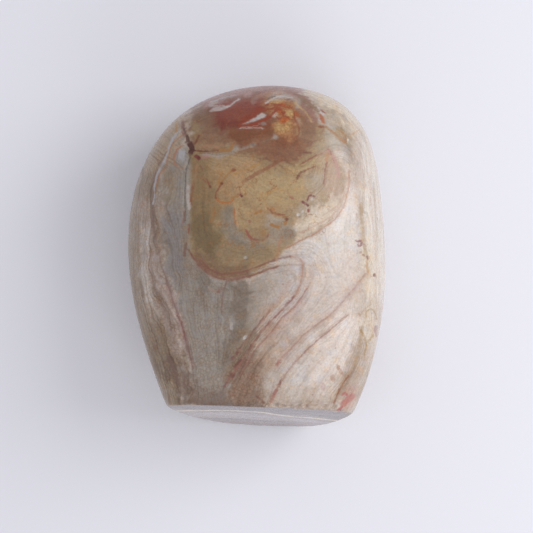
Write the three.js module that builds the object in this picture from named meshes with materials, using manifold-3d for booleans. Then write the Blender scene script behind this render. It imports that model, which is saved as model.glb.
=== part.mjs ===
// Jasper stone: a palm-sized polished freeform, lying on its back.
// Frame: millimetres, +X to the stone's right, +Y towards its rounded crown, +Z up.
// The stone is one solid. Its shape is a set of softly ground faces that run into each
// other, with two true flats: the sawn base it stands on and the worn flat it lies on.

import * as THREE from 'three';
import { mergeVertices } from 'three/addons/utils/BufferGeometryUtils.js';
import Module from 'manifold-3d';

// ---------- driving dimensions ----------

const SURFACE_DETAIL = 16;       // subdivision of the ball that the stone is ground from
const GRINDING_SHARPNESS = 11;   // higher gives crisper ridges between the ground faces

// Each ground face looks along an azimuth (degrees about +Z, from +X) and a tilt
// (degrees above the table), and lies at a reach (mm) from the heart of the stone.
const GROUND_FACES = {
  right_side: { azimuth: 5, tilt: 14, reach: 38.5 },
  lower_right: { azimuth: -26, tilt: -4, reach: 47.8 },
  right_shoulder: { azimuth: 38, tilt: 6, reach: 50 },
  crown: { azimuth: 80, tilt: 4, reach: 48.5 },
  left_shoulder: { azimuth: 114, tilt: 6, reach: 44.5 },
  upper_left: { azimuth: 150, tilt: 4, reach: 39 },
  left_side: { azimuth: 178, tilt: 0, reach: 36 },
  lower_left: { azimuth: 203, tilt: -6, reach: 37.8 },
  foot: { azimuth: -90, tilt: 0, reach: 95 },
  front: { azimuth: 100, tilt: 84, reach: 29.5 },
  lower_front: { azimuth: -80, tilt: 80, reach: 30.5 },
  left_front: { azimuth: 180, tilt: 70, reach: 30 },
  right_front: { azimuth: 0, tilt: 70, reach: 31.5 },
  forehead: { azimuth: 94, tilt: 48, reach: 43 },
  left_cheek: { azimuth: 178, tilt: 42, reach: 34.5 },
  back: { azimuth: 0, tilt: -90, reach: 28 },
  upper_back: { azimuth: 90, tilt: -45, reach: 42 },
  right_back: { azimuth: 0, tilt: -45, reach: 40 },
  left_back: { azimuth: 180, tilt: -45, reach: 35.5 },
  lower_right_back: { azimuth: -40, tilt: -45, reach: 56 },
  lower_left_back: { azimuth: 215, tilt: -38, reach: 44 },
};

// Flats: the saw and the wear take off everything beyond the reach.
const SAWN_BASE = { azimuth: -92, tilt: 12, reach: 49.7 };
const RESTING_FLAT = { azimuth: 0, tilt: -90, reach: 27.7 };
const CUTTER_SIZE = 160;

const STONE_COLOUR = 0xb3a496;
const STONE_ROUGHNESS = 0.2;

// ---------- shape ----------

function faceNormal({ azimuth, tilt }) {
  const polar = THREE.MathUtils.degToRad(90 - tilt);
  const turn = THREE.MathUtils.degToRad(azimuth);
  return new THREE.Vector3(
    Math.sin(polar) * Math.cos(turn),
    Math.sin(polar) * Math.sin(turn),
    Math.cos(polar),
  );
}

// Distance from the heart to the skin of the stone: a rounded meeting of all the faces.
function reachAlong(direction, faces) {
  let sum = 0;
  for (const { normal, reach } of faces) {
    const closeness = Math.max(0, direction.dot(normal)) / reach;
    sum += closeness ** GRINDING_SHARPNESS;
  }
  return sum ** (-1 / GRINDING_SHARPNESS);
}

function groundBall() {
  const faces = Object.values(GROUND_FACES).map((face) => ({
    normal: faceNormal(face),
    reach: face.reach,
  }));
  const ball = new THREE.IcosahedronGeometry(1, SURFACE_DETAIL);
  const points = ball.attributes.position;
  const direction = new THREE.Vector3();
  for (let index = 0; index < points.count; index += 1) {
    direction.fromBufferAttribute(points, index).normalize();
    direction.multiplyScalar(reachAlong(direction, faces));
    points.setXYZ(index, direction.x, direction.y, direction.z);
  }
  return ball;
}

// A block whose near face lies at the flat's reach and looks back at the stone.
function flatCutter(flat) {
  const normal = faceNormal(flat);
  const block = new THREE.BoxGeometry(CUTTER_SIZE, CUTTER_SIZE, CUTTER_SIZE);
  const turn = new THREE.Quaternion().setFromUnitVectors(new THREE.Vector3(0, 0, 1), normal);
  block.applyQuaternion(turn);
  const centre = normal.multiplyScalar(flat.reach + CUTTER_SIZE / 2);
  block.translate(centre.x, centre.y, centre.z);
  return block;
}

// ---------- solids ----------

const wasm = await Module();
wasm.setup();

function toManifold(geometry) {
  const bare = geometry.clone();
  bare.deleteAttribute('normal');
  bare.deleteAttribute('uv');
  const welded = mergeVertices(bare, 1e-5);
  return new wasm.Manifold(new wasm.Mesh({
    numProp: 3,
    vertProperties: new Float32Array(welded.attributes.position.array),
    triVerts: new Uint32Array(welded.index.array),
  }));
}

function toGeometry(solid) {
  const mesh = solid.getMesh();
  const geometry = new THREE.BufferGeometry();
  geometry.setAttribute('position', new THREE.BufferAttribute(mesh.vertProperties, 3));
  geometry.setIndex(new THREE.BufferAttribute(mesh.triVerts, 1));
  geometry.computeVertexNormals();
  return geometry;
}

function buildStone() {
  const flats = [SAWN_BASE, RESTING_FLAT];
  const ground = toManifold(groundBall());
  const cut = flats.reduce((solid, flat) => solid.subtract(toManifold(flatCutter(flat))), ground);
  const material = new THREE.MeshStandardMaterial({
    color: STONE_COLOUR,
    roughness: STONE_ROUGHNESS,
    metalness: 0,
  });
  const stone = new THREE.Mesh(toGeometry(cut), material);
  stone.name = 'jasper_stone';

  // The stone rests on the table at z = 0, with its bounding box centred on the origin.
  stone.geometry.computeBoundingBox();
  const box = stone.geometry.boundingBox;
  const centre = box.getCenter(new THREE.Vector3());
  stone.position.set(-centre.x, -centre.y, -box.min.z);
  return stone;
}

// ---------- scene graph ----------

const part = new THREE.Group();
part.name = 'jasper_stone_part';
part.add(buildStone());

export default part;
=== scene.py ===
# %% [markdown]
# # A polished jasper stone
# Jasper is an opaque, very fine-grained quartz. Iron stains it red, ochre and brown, and
# old cracks in it are healed with pale chalcedony. This stone was ground into a rounded
# freeform, sawn flat at one end so that it can stand, and polished all over. It lies on
# its back here, as it would on a collector's table.
#
# The lesson has four parts: the stage, the skin of the stone, the pattern in it and the
# polish on it.

# %% Load the frame
import math

import bmesh
import bpy
import numpy as np
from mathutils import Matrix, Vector, noise


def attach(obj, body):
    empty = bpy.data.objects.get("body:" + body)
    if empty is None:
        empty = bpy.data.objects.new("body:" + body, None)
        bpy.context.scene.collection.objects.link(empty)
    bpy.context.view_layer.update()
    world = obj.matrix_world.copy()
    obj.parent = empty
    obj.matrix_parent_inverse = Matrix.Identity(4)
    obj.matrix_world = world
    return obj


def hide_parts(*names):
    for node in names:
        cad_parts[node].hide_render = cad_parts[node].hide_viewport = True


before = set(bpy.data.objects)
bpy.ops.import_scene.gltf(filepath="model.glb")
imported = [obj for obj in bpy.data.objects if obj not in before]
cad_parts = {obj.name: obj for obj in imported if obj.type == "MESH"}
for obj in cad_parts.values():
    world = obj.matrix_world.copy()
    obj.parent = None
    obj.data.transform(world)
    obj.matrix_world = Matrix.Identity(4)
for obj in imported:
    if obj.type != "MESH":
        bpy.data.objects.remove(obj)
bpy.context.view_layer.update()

MM = 0.001

# %% [markdown]
# ## The camera
# A small stone shows its pattern best from straight above. A long lens keeps its outline
# free of distortion, so the lens is 100 mm long and hangs a little under half a metre
# over the table.

# %% Camera over the stone
EYE = (2.5, -1.4, 462.0)
LENS, SENSOR = 100.0, 36.0

bpy.ops.object.select_all(action="DESELECT")
bpy.ops.object.camera_add(location=[value * MM for value in EYE], rotation=(0, 0, 0))
camera = bpy.context.object
camera.name = "overhead_camera"
camera.data.lens = LENS
camera.data.sensor_width = SENSOR
bpy.context.scene.camera = camera
print("camera height in mm:", EYE[2])

# %% [markdown]
# ## The table
# The stone lies on a large sheet of pale, slightly blue card. Card is flat and matt, and
# its grain is too fine to see from here, so one plane with a rough, plain material does.

# %% Table
TABLE_SIZE = 6.0
TABLE_COLOUR = (0.80, 0.80, 0.85, 1)
TABLE_ROUGHNESS = 0.7


def emptied_material(name):
    material = bpy.data.materials.new(name)
    material.use_nodes = True
    material.node_tree.nodes.clear()
    return material


bpy.ops.mesh.primitive_plane_add(size=TABLE_SIZE)
table = bpy.context.object
table.name = "table"
card = emptied_material("pale card")
card_shader = card.node_tree.nodes.new("ShaderNodeBsdfPrincipled")
card_shader.inputs["Base Color"].default_value = TABLE_COLOUR
card_shader.inputs["Roughness"].default_value = TABLE_ROUGHNESS
card_out = card.node_tree.nodes.new("ShaderNodeOutputMaterial")
card.node_tree.links.new(card_shader.outputs[0], card_out.inputs[0])
table.data.materials.append(card)
print("table size in m:", TABLE_SIZE)

# %% [markdown]
# ## The light
# One big soft box stands to the right, so the shadow falls softly to the left. A weak one
# in front lifts the sawn end, and the white room fills the shadows in. Small, hard lights
# would leave sharp white spots on the polish, which wide soft boxes don't.

# %% Soft boxes and room light
LIT_POINT = (0, 0, 0.02)
ROOM_COLOUR = (0.95, 0.95, 1.0, 1)
ROOM_STRENGTH = 0.685


def soft_box(name, place, size, watts):
    bpy.ops.object.light_add(type="AREA", location=place)
    lamp = bpy.context.object
    lamp.name = name
    lamp.data.shape = "RECTANGLE"
    lamp.data.size = size[0]
    lamp.data.size_y = size[1]
    lamp.data.energy = watts
    aim = Vector(LIT_POINT) - Vector(place)
    lamp.rotation_euler = aim.to_track_quat("-Z", "Y").to_euler()
    print(name, "at", place, "with", watts, "W")


soft_box("window soft box", (0.55, 0.18, 0.48), (0.45, 0.6), 2.45)
soft_box("front soft box", (0.26, -0.50, 0.42), (0.40, 0.3), 0.85)
room = bpy.data.worlds.new("white room")
room.use_nodes = True
room.node_tree.nodes["Background"].inputs["Color"].default_value = ROOM_COLOUR
room.node_tree.nodes["Background"].inputs["Strength"].default_value = ROOM_STRENGTH
bpy.context.scene.world = room
bpy.context.scene.view_settings.view_transform = "Standard"

# %% [markdown]
# ## The skin of the stone
# The frame's solid has the right shape, but it is made of flat triangles. A polished
# stone has no facets and no sharp creases except at the saw cut. So a copy is merged
# into one skin, rebuilt as an even net of small squares with a voxel remesh, and relaxed
# until the reflections run smoothly. A sculpted stone would look no different, and this
# way it keeps the exact size.

# %% Copy, merge, remesh and relax
NET_SIZE = 0.75
RELAX_TURNS = 24
SAW_SIDEWAYS, SAW_UPWARDS = math.radians(-92), math.radians(12)
saw_normal = Vector((
    math.cos(SAW_SIDEWAYS) * math.cos(SAW_UPWARDS),
    math.sin(SAW_SIDEWAYS) * math.cos(SAW_UPWARDS),
    math.sin(SAW_UPWARDS),
))


def apply_modifier(piece, name, kind, **settings):
    modifier = piece.modifiers.new(name, kind)
    for key, value in settings.items():
        setattr(modifier, key, value)
    bpy.context.view_layer.objects.active = piece
    bpy.ops.object.modifier_apply(modifier=name)


bpy.ops.object.select_all(action="DESELECT")
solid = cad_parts["jasper_stone"]
stone = bpy.data.objects.new("banded_jasper", solid.data.copy())
stone.data.materials.clear()
bpy.context.scene.collection.objects.link(stone)
bpy.context.view_layer.objects.active = stone
stone.select_set(True)
bpy.ops.object.mode_set(mode="EDIT")
bpy.ops.mesh.select_all(action="SELECT")
bpy.ops.mesh.remove_doubles(threshold=0.001 * MM)
bpy.ops.object.mode_set(mode="OBJECT")
saw_reach = max(vertex.co.dot(saw_normal) for vertex in stone.data.vertices)
apply_modifier(stone, "net", "REMESH", mode="VOXEL", voxel_size=NET_SIZE * MM)
apply_modifier(stone, "relax", "SMOOTH", factor=0.5, iterations=RELAX_TURNS)
print("net faces:", len(stone.data.polygons), "saw cut reach in mm:", round(saw_reach / MM, 2))

# %% [markdown]
# ## The two flats
# Relaxing rounds the saw cut and the worn flat on the back a little. The real cut is
# dead flat with a barely eased edge, because it was ground on a flat lap after the stone
# was shaped. The same is done here: all that stands proud of the lap is pressed flat.

# %% Grind the flats
LAP_DEPTH = 0.35
FLAT_DEPTH = 0.05


def coordinates(mesh):
    flat = np.empty(len(mesh.vertices) * 3)
    mesh.vertices.foreach_get("co", flat)
    return flat.reshape(-1, 3)


def normals(mesh):
    flat = np.empty(len(mesh.vertices) * 3)
    mesh.vertices.foreach_get("normal", flat)
    return flat.reshape(-1, 3)


def set_coordinates(mesh, points):
    mesh.vertices.foreach_set("co", points.ravel())
    mesh.update()


points = coordinates(stone.data)
saw = np.array(saw_normal)
proud = np.maximum(0, points @ saw - (saw_reach - LAP_DEPTH * MM))
points -= proud[:, None] * saw
points[:, 2] = np.maximum(points[:, 2], FLAT_DEPTH * MM)
points[:, 2] -= points[:, 2].min()
set_coordinates(stone.data, points)
print("points on the saw cut:", int((proud > 0).sum()))

# %% [markdown]
# ## A finer net where the pattern is finest
# The veins in jasper are only a few tenths of a millimetre wide. Every square of the net
# that faces upwards is split once more, so that the veins and the pits of the front have
# points to sit on.

# %% Refine the net
UPWARDS = 0.36


def select_faces(piece, wanted):
    bpy.ops.object.mode_set(mode="EDIT")
    net = bmesh.from_edit_mesh(piece.data)
    for face in net.faces:
        face.select_set(wanted(face))
    bmesh.update_edit_mesh(piece.data)


select_faces(stone, lambda face: face.normal.z > UPWARDS)
bpy.ops.mesh.subdivide(number_cuts=1)
bpy.ops.object.mode_set(mode="OBJECT")
print("faces after refining:", len(stone.data.polygons))

# %% [markdown]
# ## A map for the pattern
# The pattern is laid out on a flat map of the front, in millimetres, as the eye above
# the stone sees it. A band in the rock is a sheet that runs on into the stone, so below
# the widest girth the map is unrolled further outwards, and the bands keep going over
# every edge. Deeper in the stone the sheets also wander, so the back is no mirror of
# the front. The noise that makes them wander is given a seed, because without one it
# starts somewhere else on every run.

# %% Map coordinates of every point
MAP_HEIGHT = 50.0
GIRTH_HEIGHT = 27.0
UNROLL, UNROLL_EASE = 0.5, 6.0
UNROLL_CENTRE, UNROLL_HALF = (0.0, -5.0), (18.0, 25.0)
DEEP_SIZE, DEEP_WANDER = 24.0, 13.0
NOISE_SEED = 1
noise.seed_set(NOISE_SEED)


def wander(places, size, amount, seed):
    """A smooth random shift of every place, so that drawn edges turn organic."""
    offset = Vector((seed * 17.0, seed * 5.0, seed * 11.0))
    shift = [noise.noise_vector(Vector(place) / size + offset) for place in places]
    return np.array(shift)[:, :2] * amount


def map_of(places):
    """Map position of places given in mm, as an n by 2 array."""
    depth_scale = ((EYE[2] - MAP_HEIGHT) / (EYE[2] - places[:, 2]))[:, None]
    flat = np.array(EYE[:2]) + (places[:, :2] - EYE[:2]) * depth_scale
    under = np.maximum(0, GIRTH_HEIGHT - places[:, 2])
    under = (under * under / (under + UNROLL_EASE))[:, None]
    outwards = np.tanh((places[:, :2] - UNROLL_CENTRE) / UNROLL_HALF)
    deep = wander(places, size=DEEP_SIZE, amount=DEEP_WANDER, seed=7) * under / GIRTH_HEIGHT
    return flat + UNROLL * under * outwards + deep


places = coordinates(stone.data) / MM
facing = normals(stone.data)
plain_map = map_of(places)
soft_map = plain_map + wander(places, size=5.0, amount=1.0, seed=1)
soft_map += wander(places, size=1.4, amount=0.4, seed=2)
line_map = plain_map + wander(places, size=2.2, amount=0.16, seed=3)
print("map spans:", plain_map.min(0).round(1), plain_map.max(0).round(1))

# %% [markdown]
# ## Brush strokes
# Every patch and vein is one stroke: a width, a softness and a few points, joined by a
# smooth curve. A stroke gives each point of the net a closeness: 1 in its middle, 0.5 at
# its edge and 0 outside.

# %% Stroke tools
CURVE_STEPS = 4


def smooth_curve(corners):
    """Points of a Catmull-Rom curve through the corners."""
    corners = [np.array(corner, dtype=float) for corner in corners]
    if len(corners) == 1:
        return np.array([corners[0], corners[0] + 0.01])
    if len(corners) == 2:
        return np.array(corners)
    padded = [2 * corners[0] - corners[1]] + corners + [2 * corners[-1] - corners[-2]]
    curve = []
    for a, b, c, d in zip(padded, padded[1:], padded[2:], padded[3:]):
        for step in range(CURVE_STEPS):
            t = step / CURVE_STEPS
            curve.append(0.5 * (2 * b + (c - a) * t + (2 * a - 5 * b + 4 * c - d) * t ** 2
                                + (3 * b - a - 3 * c + d) * t ** 3))
    curve.append(corners[-1])
    return np.array(curve)


def offset_from(curve, positions):
    """Distance to a chain of points, negative on its right, and how far past its ends."""
    nearest = np.full(len(positions), 1e9)
    side = np.ones(len(positions))
    past = np.zeros(len(positions))
    last = len(curve) - 2
    for turn, (start, end) in enumerate(zip(curve[:-1], curve[1:])):
        along = end - start
        length = max(np.linalg.norm(along), 1e-6)
        reached = ((positions - start) @ along) / length
        foot = start + np.clip(reached / length, 0, 1)[:, None] * along
        gap = np.linalg.norm(positions - foot, axis=1)
        closer = gap < nearest
        turned = along[0] * (positions[:, 1] - start[1]) - along[1] * (positions[:, 0] - start[0])
        before = np.maximum(0, -reached) if turn == 0 else 0
        after = np.maximum(0, reached - length) if turn == last else 0
        nearest = np.where(closer, gap, nearest)
        side = np.where(closer, np.where(turned < 0, -1.0, 1.0), side)
        past = np.where(closer, before + after, past)
    return nearest * side, past


def distance_to(curve, positions):
    """Shortest distance from each position to a chain of points."""
    return np.abs(offset_from(curve, positions)[0])


def closeness(positions, width, softness, corners):
    """How close each position is to a stroke: 1 in its middle, 0 outside."""
    curve = smooth_curve(corners)
    margin = width / 2 + softness
    near = np.all((positions > curve.min(0) - margin) & (positions < curve.max(0) + margin), axis=1)
    result = np.zeros(len(positions))
    if near.any():
        distance = distance_to(curve, positions[near])
        result[near] = np.clip((width / 2 - distance) / softness + 0.5, 0, 1)
    return result


def smoothed(value):
    """The same run from 0 to 1, but gentle at both ends."""
    return value * value * (3 - 2 * value)


print("points on a curve through three corners:", len(smooth_curve([(0, 0), (1, 1), (2, 0)])))

# %% [markdown]
# ## The colours of the rock
# Most of the stone is cream and pinkish jasper that turns grey and brown to the left.
# The front has an older patch of olive and tan, and the crown is stained red by iron.
# A polished surface also mirrors a little of the white room, which pales every colour,
# so the pigments are kept deeper than they will look.

# %% Tints
TINTS = {
    "cream": (190, 175, 162), "flank": (156, 138, 117), "flank_light": (168, 151, 136),
    "flank_dark": (138, 118, 99), "warm_flank": (170, 149, 125), "ochre_grey": (147, 125, 95),
    "grey": (146, 136, 126), "blue_grey": (134, 126, 122), "dark_grey": (123, 110, 98),
    "tan_grey": (153, 140, 127), "silver": (174, 162, 152), "pink_tan": (186, 168, 156),
    # The lightest tint is pale jasper lightened further by a painted highlight.
    "rosy_tan": (201, 188, 178), "pale": (203, 194, 186), "pale_with_highlight": (221, 209, 200),
    "face": (214, 204, 190), "face_rim": (226, 220, 212), "face_tan": (208, 194, 174),
    "rust_ground": (136, 110, 92), "pink_brown": (168, 144, 125), "base_tan": (163, 141, 124),
    "base_brown": (116, 95, 82), "olive": (117, 96, 65), "warm_olive": (136, 110, 75),
    "patch": (154, 129, 95), "tan": (163, 131, 94), "orange_tan": (171, 137, 99),
    "sand": (169, 144, 105), "light_sand": (167, 148, 126), "cream_tan": (201, 185, 165),
    "rose_tan": (157, 123, 97), "arc_brown": (122, 95, 69), "arc_tan": (134, 112, 84),
    "fog": (128, 117, 104), "cap": (127, 84, 60), "cap_deep": (112, 49, 31),
    "cap_red": (131, 66, 48), "cap_rust": (121, 71, 40), "cap_brown": (131, 99, 75),
    "cap_low": (134, 91, 65), "cap_right": (140, 105, 80), "mauve": (161, 122, 112),
    "fire": (163, 113, 72), "shoulder": (178, 163, 146), "pale_rim": (206, 191, 169),
    "moss": (148, 126, 92), "slate": (142, 129, 120), "dove": (163, 151, 135),
    # The cut's grey ground and its lighter grey are partly painted reflection of the pale table in
    # the polish.
    "cut_grey_and_reflection": (160, 152, 152), "cut_dark": (143, 134, 135), "cut_table_reflection": (182, 175, 176),
    "cut_brown": (134, 122, 120), "chalk": (205, 200, 196), "lilac_grey": (186, 171, 163),
    "rose_grey": (168, 150, 142), "band_red": (158, 116, 100), "band_tan": (172, 138, 120),
    "rose": (184, 140, 130), "blush": (178, 148, 126), "gold": (152, 122, 76),
    # The cut's thin bright line is painted reflected light.
    "cut_reflected_line": (226, 214, 196),
}


def linear(colour):
    """Linear light from an everyday 0 to 255 colour."""
    share = np.array(colour) / 255
    return np.where(share <= 0.04045, share / 12.92, ((share + 0.055) / 1.055) ** 2.4)


print("tints:", len(TINTS), "cream in linear light:", linear(TINTS["cream"]).round(3))

# %% [markdown]
# ## Washes
# Washes are broad, soft strokes laid one over another like thin paint, from the large
# fields down to the small patches. Each gives its tint, width, softness, strength and
# the few points it runs through.

# %% The flanks and the middle
LEFT_FIELDS = [
    ("flank", 15, 6, 1.0, [(-35, 36), (-35, 0), (-31, -22), (-28, -40)]),
    ("grey", 14, 6, 1.0, [(-20, 26), (-20, 4), (-15, -14), (-12, -36)]),
    ("warm_flank", 6, 4, 0.9, [(-22, 39), (-26, 33), (-29, 27)]),
    ("flank_dark", 5, 4, 0.4, [(-29.5, 22), (-29.5, 14)]),
    ("flank_light", 8, 4, 1.0, [(-30, 14), (-29.5, 2), (-28.5, -8), (-26.5, -14)]),
    ("pale", 3.5, 3, 0.7, [(-30.8, 9), (-30.5, -3), (-29.8, -11)]),
    ("flank_dark", 7, 4, 0.9, [(-26, -19), (-24, -27)]),
    ("ochre_grey", 4, 4, 0.5, [(-25.5, 25), (-24, 18)]),
    ("blue_grey", 5, 4, 0.9, [(-23.5, 12), (-22.5, 4), (-22.5, -4)]),
    ("base_brown", 6, 4, 0.7, [(-23.5, -30), (-20, -34), (-17, -38), (-10, -39)]),
    ("flank_light", 3, 3, 0.6, [(-26, -35), (-25, -39)]),
    ("grey", 6, 3, 0.8, [(-15, -30), (-13.5, -34)]),
    ("dark_grey", 3, 3, 0.8, [(-16.5, -2), (-15.5, -8), (-15.5, -12)]),
    ("grey", 7, 4, 1.0, [(-9, -5), (-8.5, -14), (-8.5, -22), (-11, -30)]),
    ("flank_dark", 3, 3, 0.6, [(-19, -3), (-20, 3), (-19.5, 9)]),
]
MIDDLE_FIELDS = [
    ("dark_grey", 7, 5, 1.0, [(-4, -7), (-4.5, -14), (-4.5, -20), (-7.5, -27)]),
    ("tan_grey", 6, 5, 0.9, [(1.5, -6), (0.5, -13)]),
    ("silver", 7, 5, 1.0, [(8, -2.5), (7, -8), (4, -12)]),
    ("pink_tan", 8, 6, 1.0, [(11, -14), (9, -18), (8, -27)]),
    ("lilac_grey", 7, 5, 0.9, [(13, 1), (12.5, -5), (11, -11)]),
    ("rosy_tan", 9, 6, 1.0, [(19, -2), (18, -10), (15, -18)]),
    ("pale", 8, 6, 0.9, [(23, 14), (24, 5), (15, 4)]),
    ("rosy_tan", 8, 6, 0.9, [(24, -1), (23, -11)]),
    # Pale jasper with a painted highlight where the soft boxes shine on the lower right.
    ("pale_with_highlight", 9, 7, 0.85, [(24.5, -18), (20, -25), (16, -31)]),
    ("flank_dark", 6, 4, 0.9, [(-2.5, -21), (-4.5, -25), (-6, -30)]),
    ("rust_ground", 8, 5, 1.0, [(-1, -29), (-4, -34), (-4, -39)]),
    ("rust_ground", 5, 4, 0.7, [(0, -33), (0, -38)]),
    ("tan_grey", 3, 2.5, 0.8, [(-1.2, -13.5), (-1.7, -17.5)]),
    ("base_brown", 1.4, 1.2, 0.7, [(-20, -39.2), (-8, -39.8), (2, -40)]),
    ("pink_brown", 5, 4, 0.9, [(3, -15), (3, -22), (3, -30)]),
    ("silver", 4, 3, 0.7, [(5, -31), (4, -35)]),
    ("base_tan", 2, 2.5, 0.6, [(4, -40), (12, -40.3), (20, -40)]),
    ("pale", 5, 4, 0.7, [(12, -31), (10, -35)]),
]
print("fields:", len(LEFT_FIELDS) + len(MIDDLE_FIELDS))

# %% [markdown]
# The right face is paler and looks towards the light. Beyond it and all round the girth
# the map is unrolled, so strokes that lie outside the outline of the front colour the
# sides and the back.

# %% The right face and the sides
FACE_FIELDS = [
    ("face", 7, 3, 1.0, [(33, 34), (33, 12), (33.5, -8)]),
    ("face_rim", 4, 4, 1.0, [(37, 32), (38, 8), (37.5, -10), (36, -24)]),
    ("face_tan", 4.5, 3, 0.65, [(31.3, 2), (31.8, -8), (31.5, -22)]),
    ("base_tan", 3.0, 3, 0.55, [(28, -24), (26.5, -30), (23.5, -36)]),
    ("shoulder", 5, 3, 0.8, [(32, -31), (29, -37)]),
    ("rose", 3, 3, 0.6, [(26.5, -36), (24.5, -39)]),
]
SIDE_FIELDS = [
    ("warm_flank", 4, 3, 0.9, [(-41, 34), (-42, 5), (-40, -22)]),
    ("flank_dark", 4, 3, 0.9, [(-46, 36), (-47, 5), (-45, -26)]),
    ("face_tan", 3, 3, 0.9, [(41, 36), (42, 8), (40, -20), (35, -44)]),
    ("gold", 1.5, 2, 0.5, [(44, 30), (45, 5), (43, -22), (38, -46)]),
    ("rosy_tan", 4, 3, 0.9, [(47.5, 34), (48.5, 5), (46, -26), (41, -50)]),
    ("shoulder", 7, 5, 1.0, [(-24, 55), (0, 61), (24, 57)]),
    ("rose_tan", 3, 3, 0.6, [(-20, 60), (4, 66), (24, 62)]),
]
print("fields on the right face and the sides:", len(FACE_FIELDS) + len(SIDE_FIELDS))

# %% [markdown]
# The olive patch on the front is the remains of an older, iron-rich layer that the
# younger bands fold round. It ends sharply, so it is filled in as an outline first.

# %% The olive patch
PATCH_OUTLINE = [
    (-18.6, 27), (-18.8, 15), (-18.9, 5), (-17.6, 0.3), (-13, -4), (-8, -5), (0, -3.6), (5, 0),
    (8, 3.8), (12.5, 6), (18, 9), (22.5, 14), (24.5, 19), (24, 25), (21, 31), (18, 38),
    (8, 40), (-2, 38), (-8, 37), (-14, 37), (-19, 33),
]
PATCH_FIELDS = [
    ("warm_olive", 7, 5, 1.0, [(-16.5, 27), (-16, 17)]),
    ("warm_olive", 6, 5, 0.9, [(-11.5, 22), (-12.5, 15)]),
    ("olive", 7, 5, 1.0, [(-16, 11), (-13.5, 5)]),
    ("tan", 6, 5, 0.8, [(-9, 26), (-8, 19)]),
    ("cap_brown", 6, 4, 0.9, [(-17, 34.5), (-10, 34), (-3, 34)]),
    ("orange_tan", 6, 5, 0.8, [(-4, 26), (-4, 20)]),
    ("sand", 8, 6, 1.0, [(1, 21), (6, 19), (12, 21)]),
    ("tan", 4, 4, 0.8, [(-1, 14.5), (5, 13.5)]),
    ("sand", 4, 4, 0.6, [(-6, 14.5), (-3.5, 13.5)]),
    ("fog", 3.4, 3.2, 0.85, [(-8.2, 13), (-8, 9.5), (-5.5, 6), (-2, 4.4), (1.5, 4.6)]),
    ("tan_grey", 1.4, 1.6, 0.5, [(-7.2, 13), (-6.9, 9.5), (-4.6, 6.6), (-1.5, 5.2)]),
    ("tan_grey", 3.5, 3, 0.7, [(4, 10.5), (5.5, 7), (8, 8)]),
    ("fog", 1.8, 1.6, 0.7, [(8.2, 8.3), (9.2, 7.9)]),
    ("arc_tan", 4, 4, 0.8, [(-9, 2), (-3, 2), (2, 2.5)]),
    ("arc_brown", 4.5, 3.5, 0.9, [(-17, 1.5), (-13, -2.2), (-7, -3.4), (-2, -3)]),
    ("light_sand", 5, 5, 0.9, [(16.5, 23), (16, 17), (12, 13)]),
    ("cream_tan", 6, 4, 1.0, [(13, 8.5), (17, 12), (21, 15.5)]),
    ("blush", 5, 4, 0.65, [(20.5, 30), (21, 25), (21.5, 20)]),
    ("sand", 5, 4, 0.7, [(12, 27), (18, 27.5)]),
]
print("washes in the patch:", len(PATCH_FIELDS))

# %% [markdown]
# The crown is stained by iron that soaked in from the top, so it is one outline with a
# wide, soft edge. It is darkest in its middle and turns to orange and mauve outwards.
# The pale shoulder beside it is painted with plain washes.

# %% The red crown and the shoulder
CAP_OUTLINE = [
    (-20, 37), (-17, 33), (-9, 32.6), (-3, 31), (2, 28), (8, 27.6), (13, 29.5), (16.5, 33.5),
    (17.5, 39), (15.8, 43.5), (12.8, 46.5), (10, 51), (4, 54), (-2, 51.5), (-8, 53), (-12, 48),
    (-18, 43.5),
]
CAP_FIELDS = [
    ("cap_brown", 7, 5, 0.9, [(-18, 42), (-14.5, 38.5), (-11.5, 35)]),
    ("cap_deep", 6, 5, 1.0, [(-9.5, 39.8), (-6, 38.8), (-3, 39.6)]),
    ("cap_red", 5, 4, 1.0, [(-9, 42.6), (-4, 43.3), (0.5, 43.8)]),
    ("cap_rust", 4.5, 4, 1.0, [(-6, 35), (0, 34.8), (3, 36)]),
    ("cap_rust", 4.5, 4, 0.9, [(5, 33), (9, 33.8), (12, 34)]),
    ("cap_low", 5, 5, 0.8, [(0, 31), (5, 30), (10, 30.5)]),
    ("cap_right", 5, 4, 0.9, [(14.5, 35), (16.5, 38)]),
    ("mauve", 2.5, 2.5, 0.9, [(-14, 44.5), (-9, 46.2), (-3, 47.2)]),
    ("band_red", 1.4, 1.2, 0.8, [(-1, 45.3), (3, 46.5), (6, 47), (9, 46.5), (13, 44.8)]),
    ("mauve", 2.0, 2.0, 0.8, [(-3, 48.2), (4, 48.8), (12, 47.6)]),
    ("cap_rust", 1.3, 1.2, 0.8, [(-14, 48.6), (-8, 50), (-2, 49.9), (6, 50.6), (13, 49)]),
    ("silver", 0.8, 0.9, 0.8, [(-12, 51), (-5, 51.2), (3, 51.9), (10, 50.8)]),
    ("cap_brown", 1.3, 1.2, 0.8, [(-8, 52.4), (4, 53), (10, 52)]),
    ("burnt", 1.8, 1.6, 0.9, [(-4.5, 39), (-1.6, 40.8), (0.4, 42.3), (2.8, 42.8), (4.5, 43)]),
    ("burnt", 2.0, 1.8, 0.8, [(-3, 37.7), (0.5, 38.2), (2.6, 39.7), (4, 41), (5.8, 42)]),
    ("fire", 7, 3, 1.0, [(5.2, 43.2), (7.5, 42), (9.5, 40), (8, 37.6)]),
    ("cap_right", 4, 3, 0.7, [(12.5, 42), (12.5, 37.5)]),
    ("moss", 3, 2.5, 0.7, [(-17.5, 38), (-17.3, 35)]),
    ("tan", 2.5, 2, 0.9, [(-16, 32), (-11, 31.7), (-7, 31.3)]),
    ("mauve", 2.6, 2.4, 0.7, [(12.6, 44), (14, 42.5), (15.3, 40.2)]),
    ("cap_brown", 1.2, 1.2, 0.8, [(12.5, 45), (14.3, 43.7), (17, 42.3)]),
    ("silver", 1.8, 1.6, 0.7, [(4.5, 45.5), (7, 45.7), (9.5, 45.2), (11.5, 44)]),
]
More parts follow.
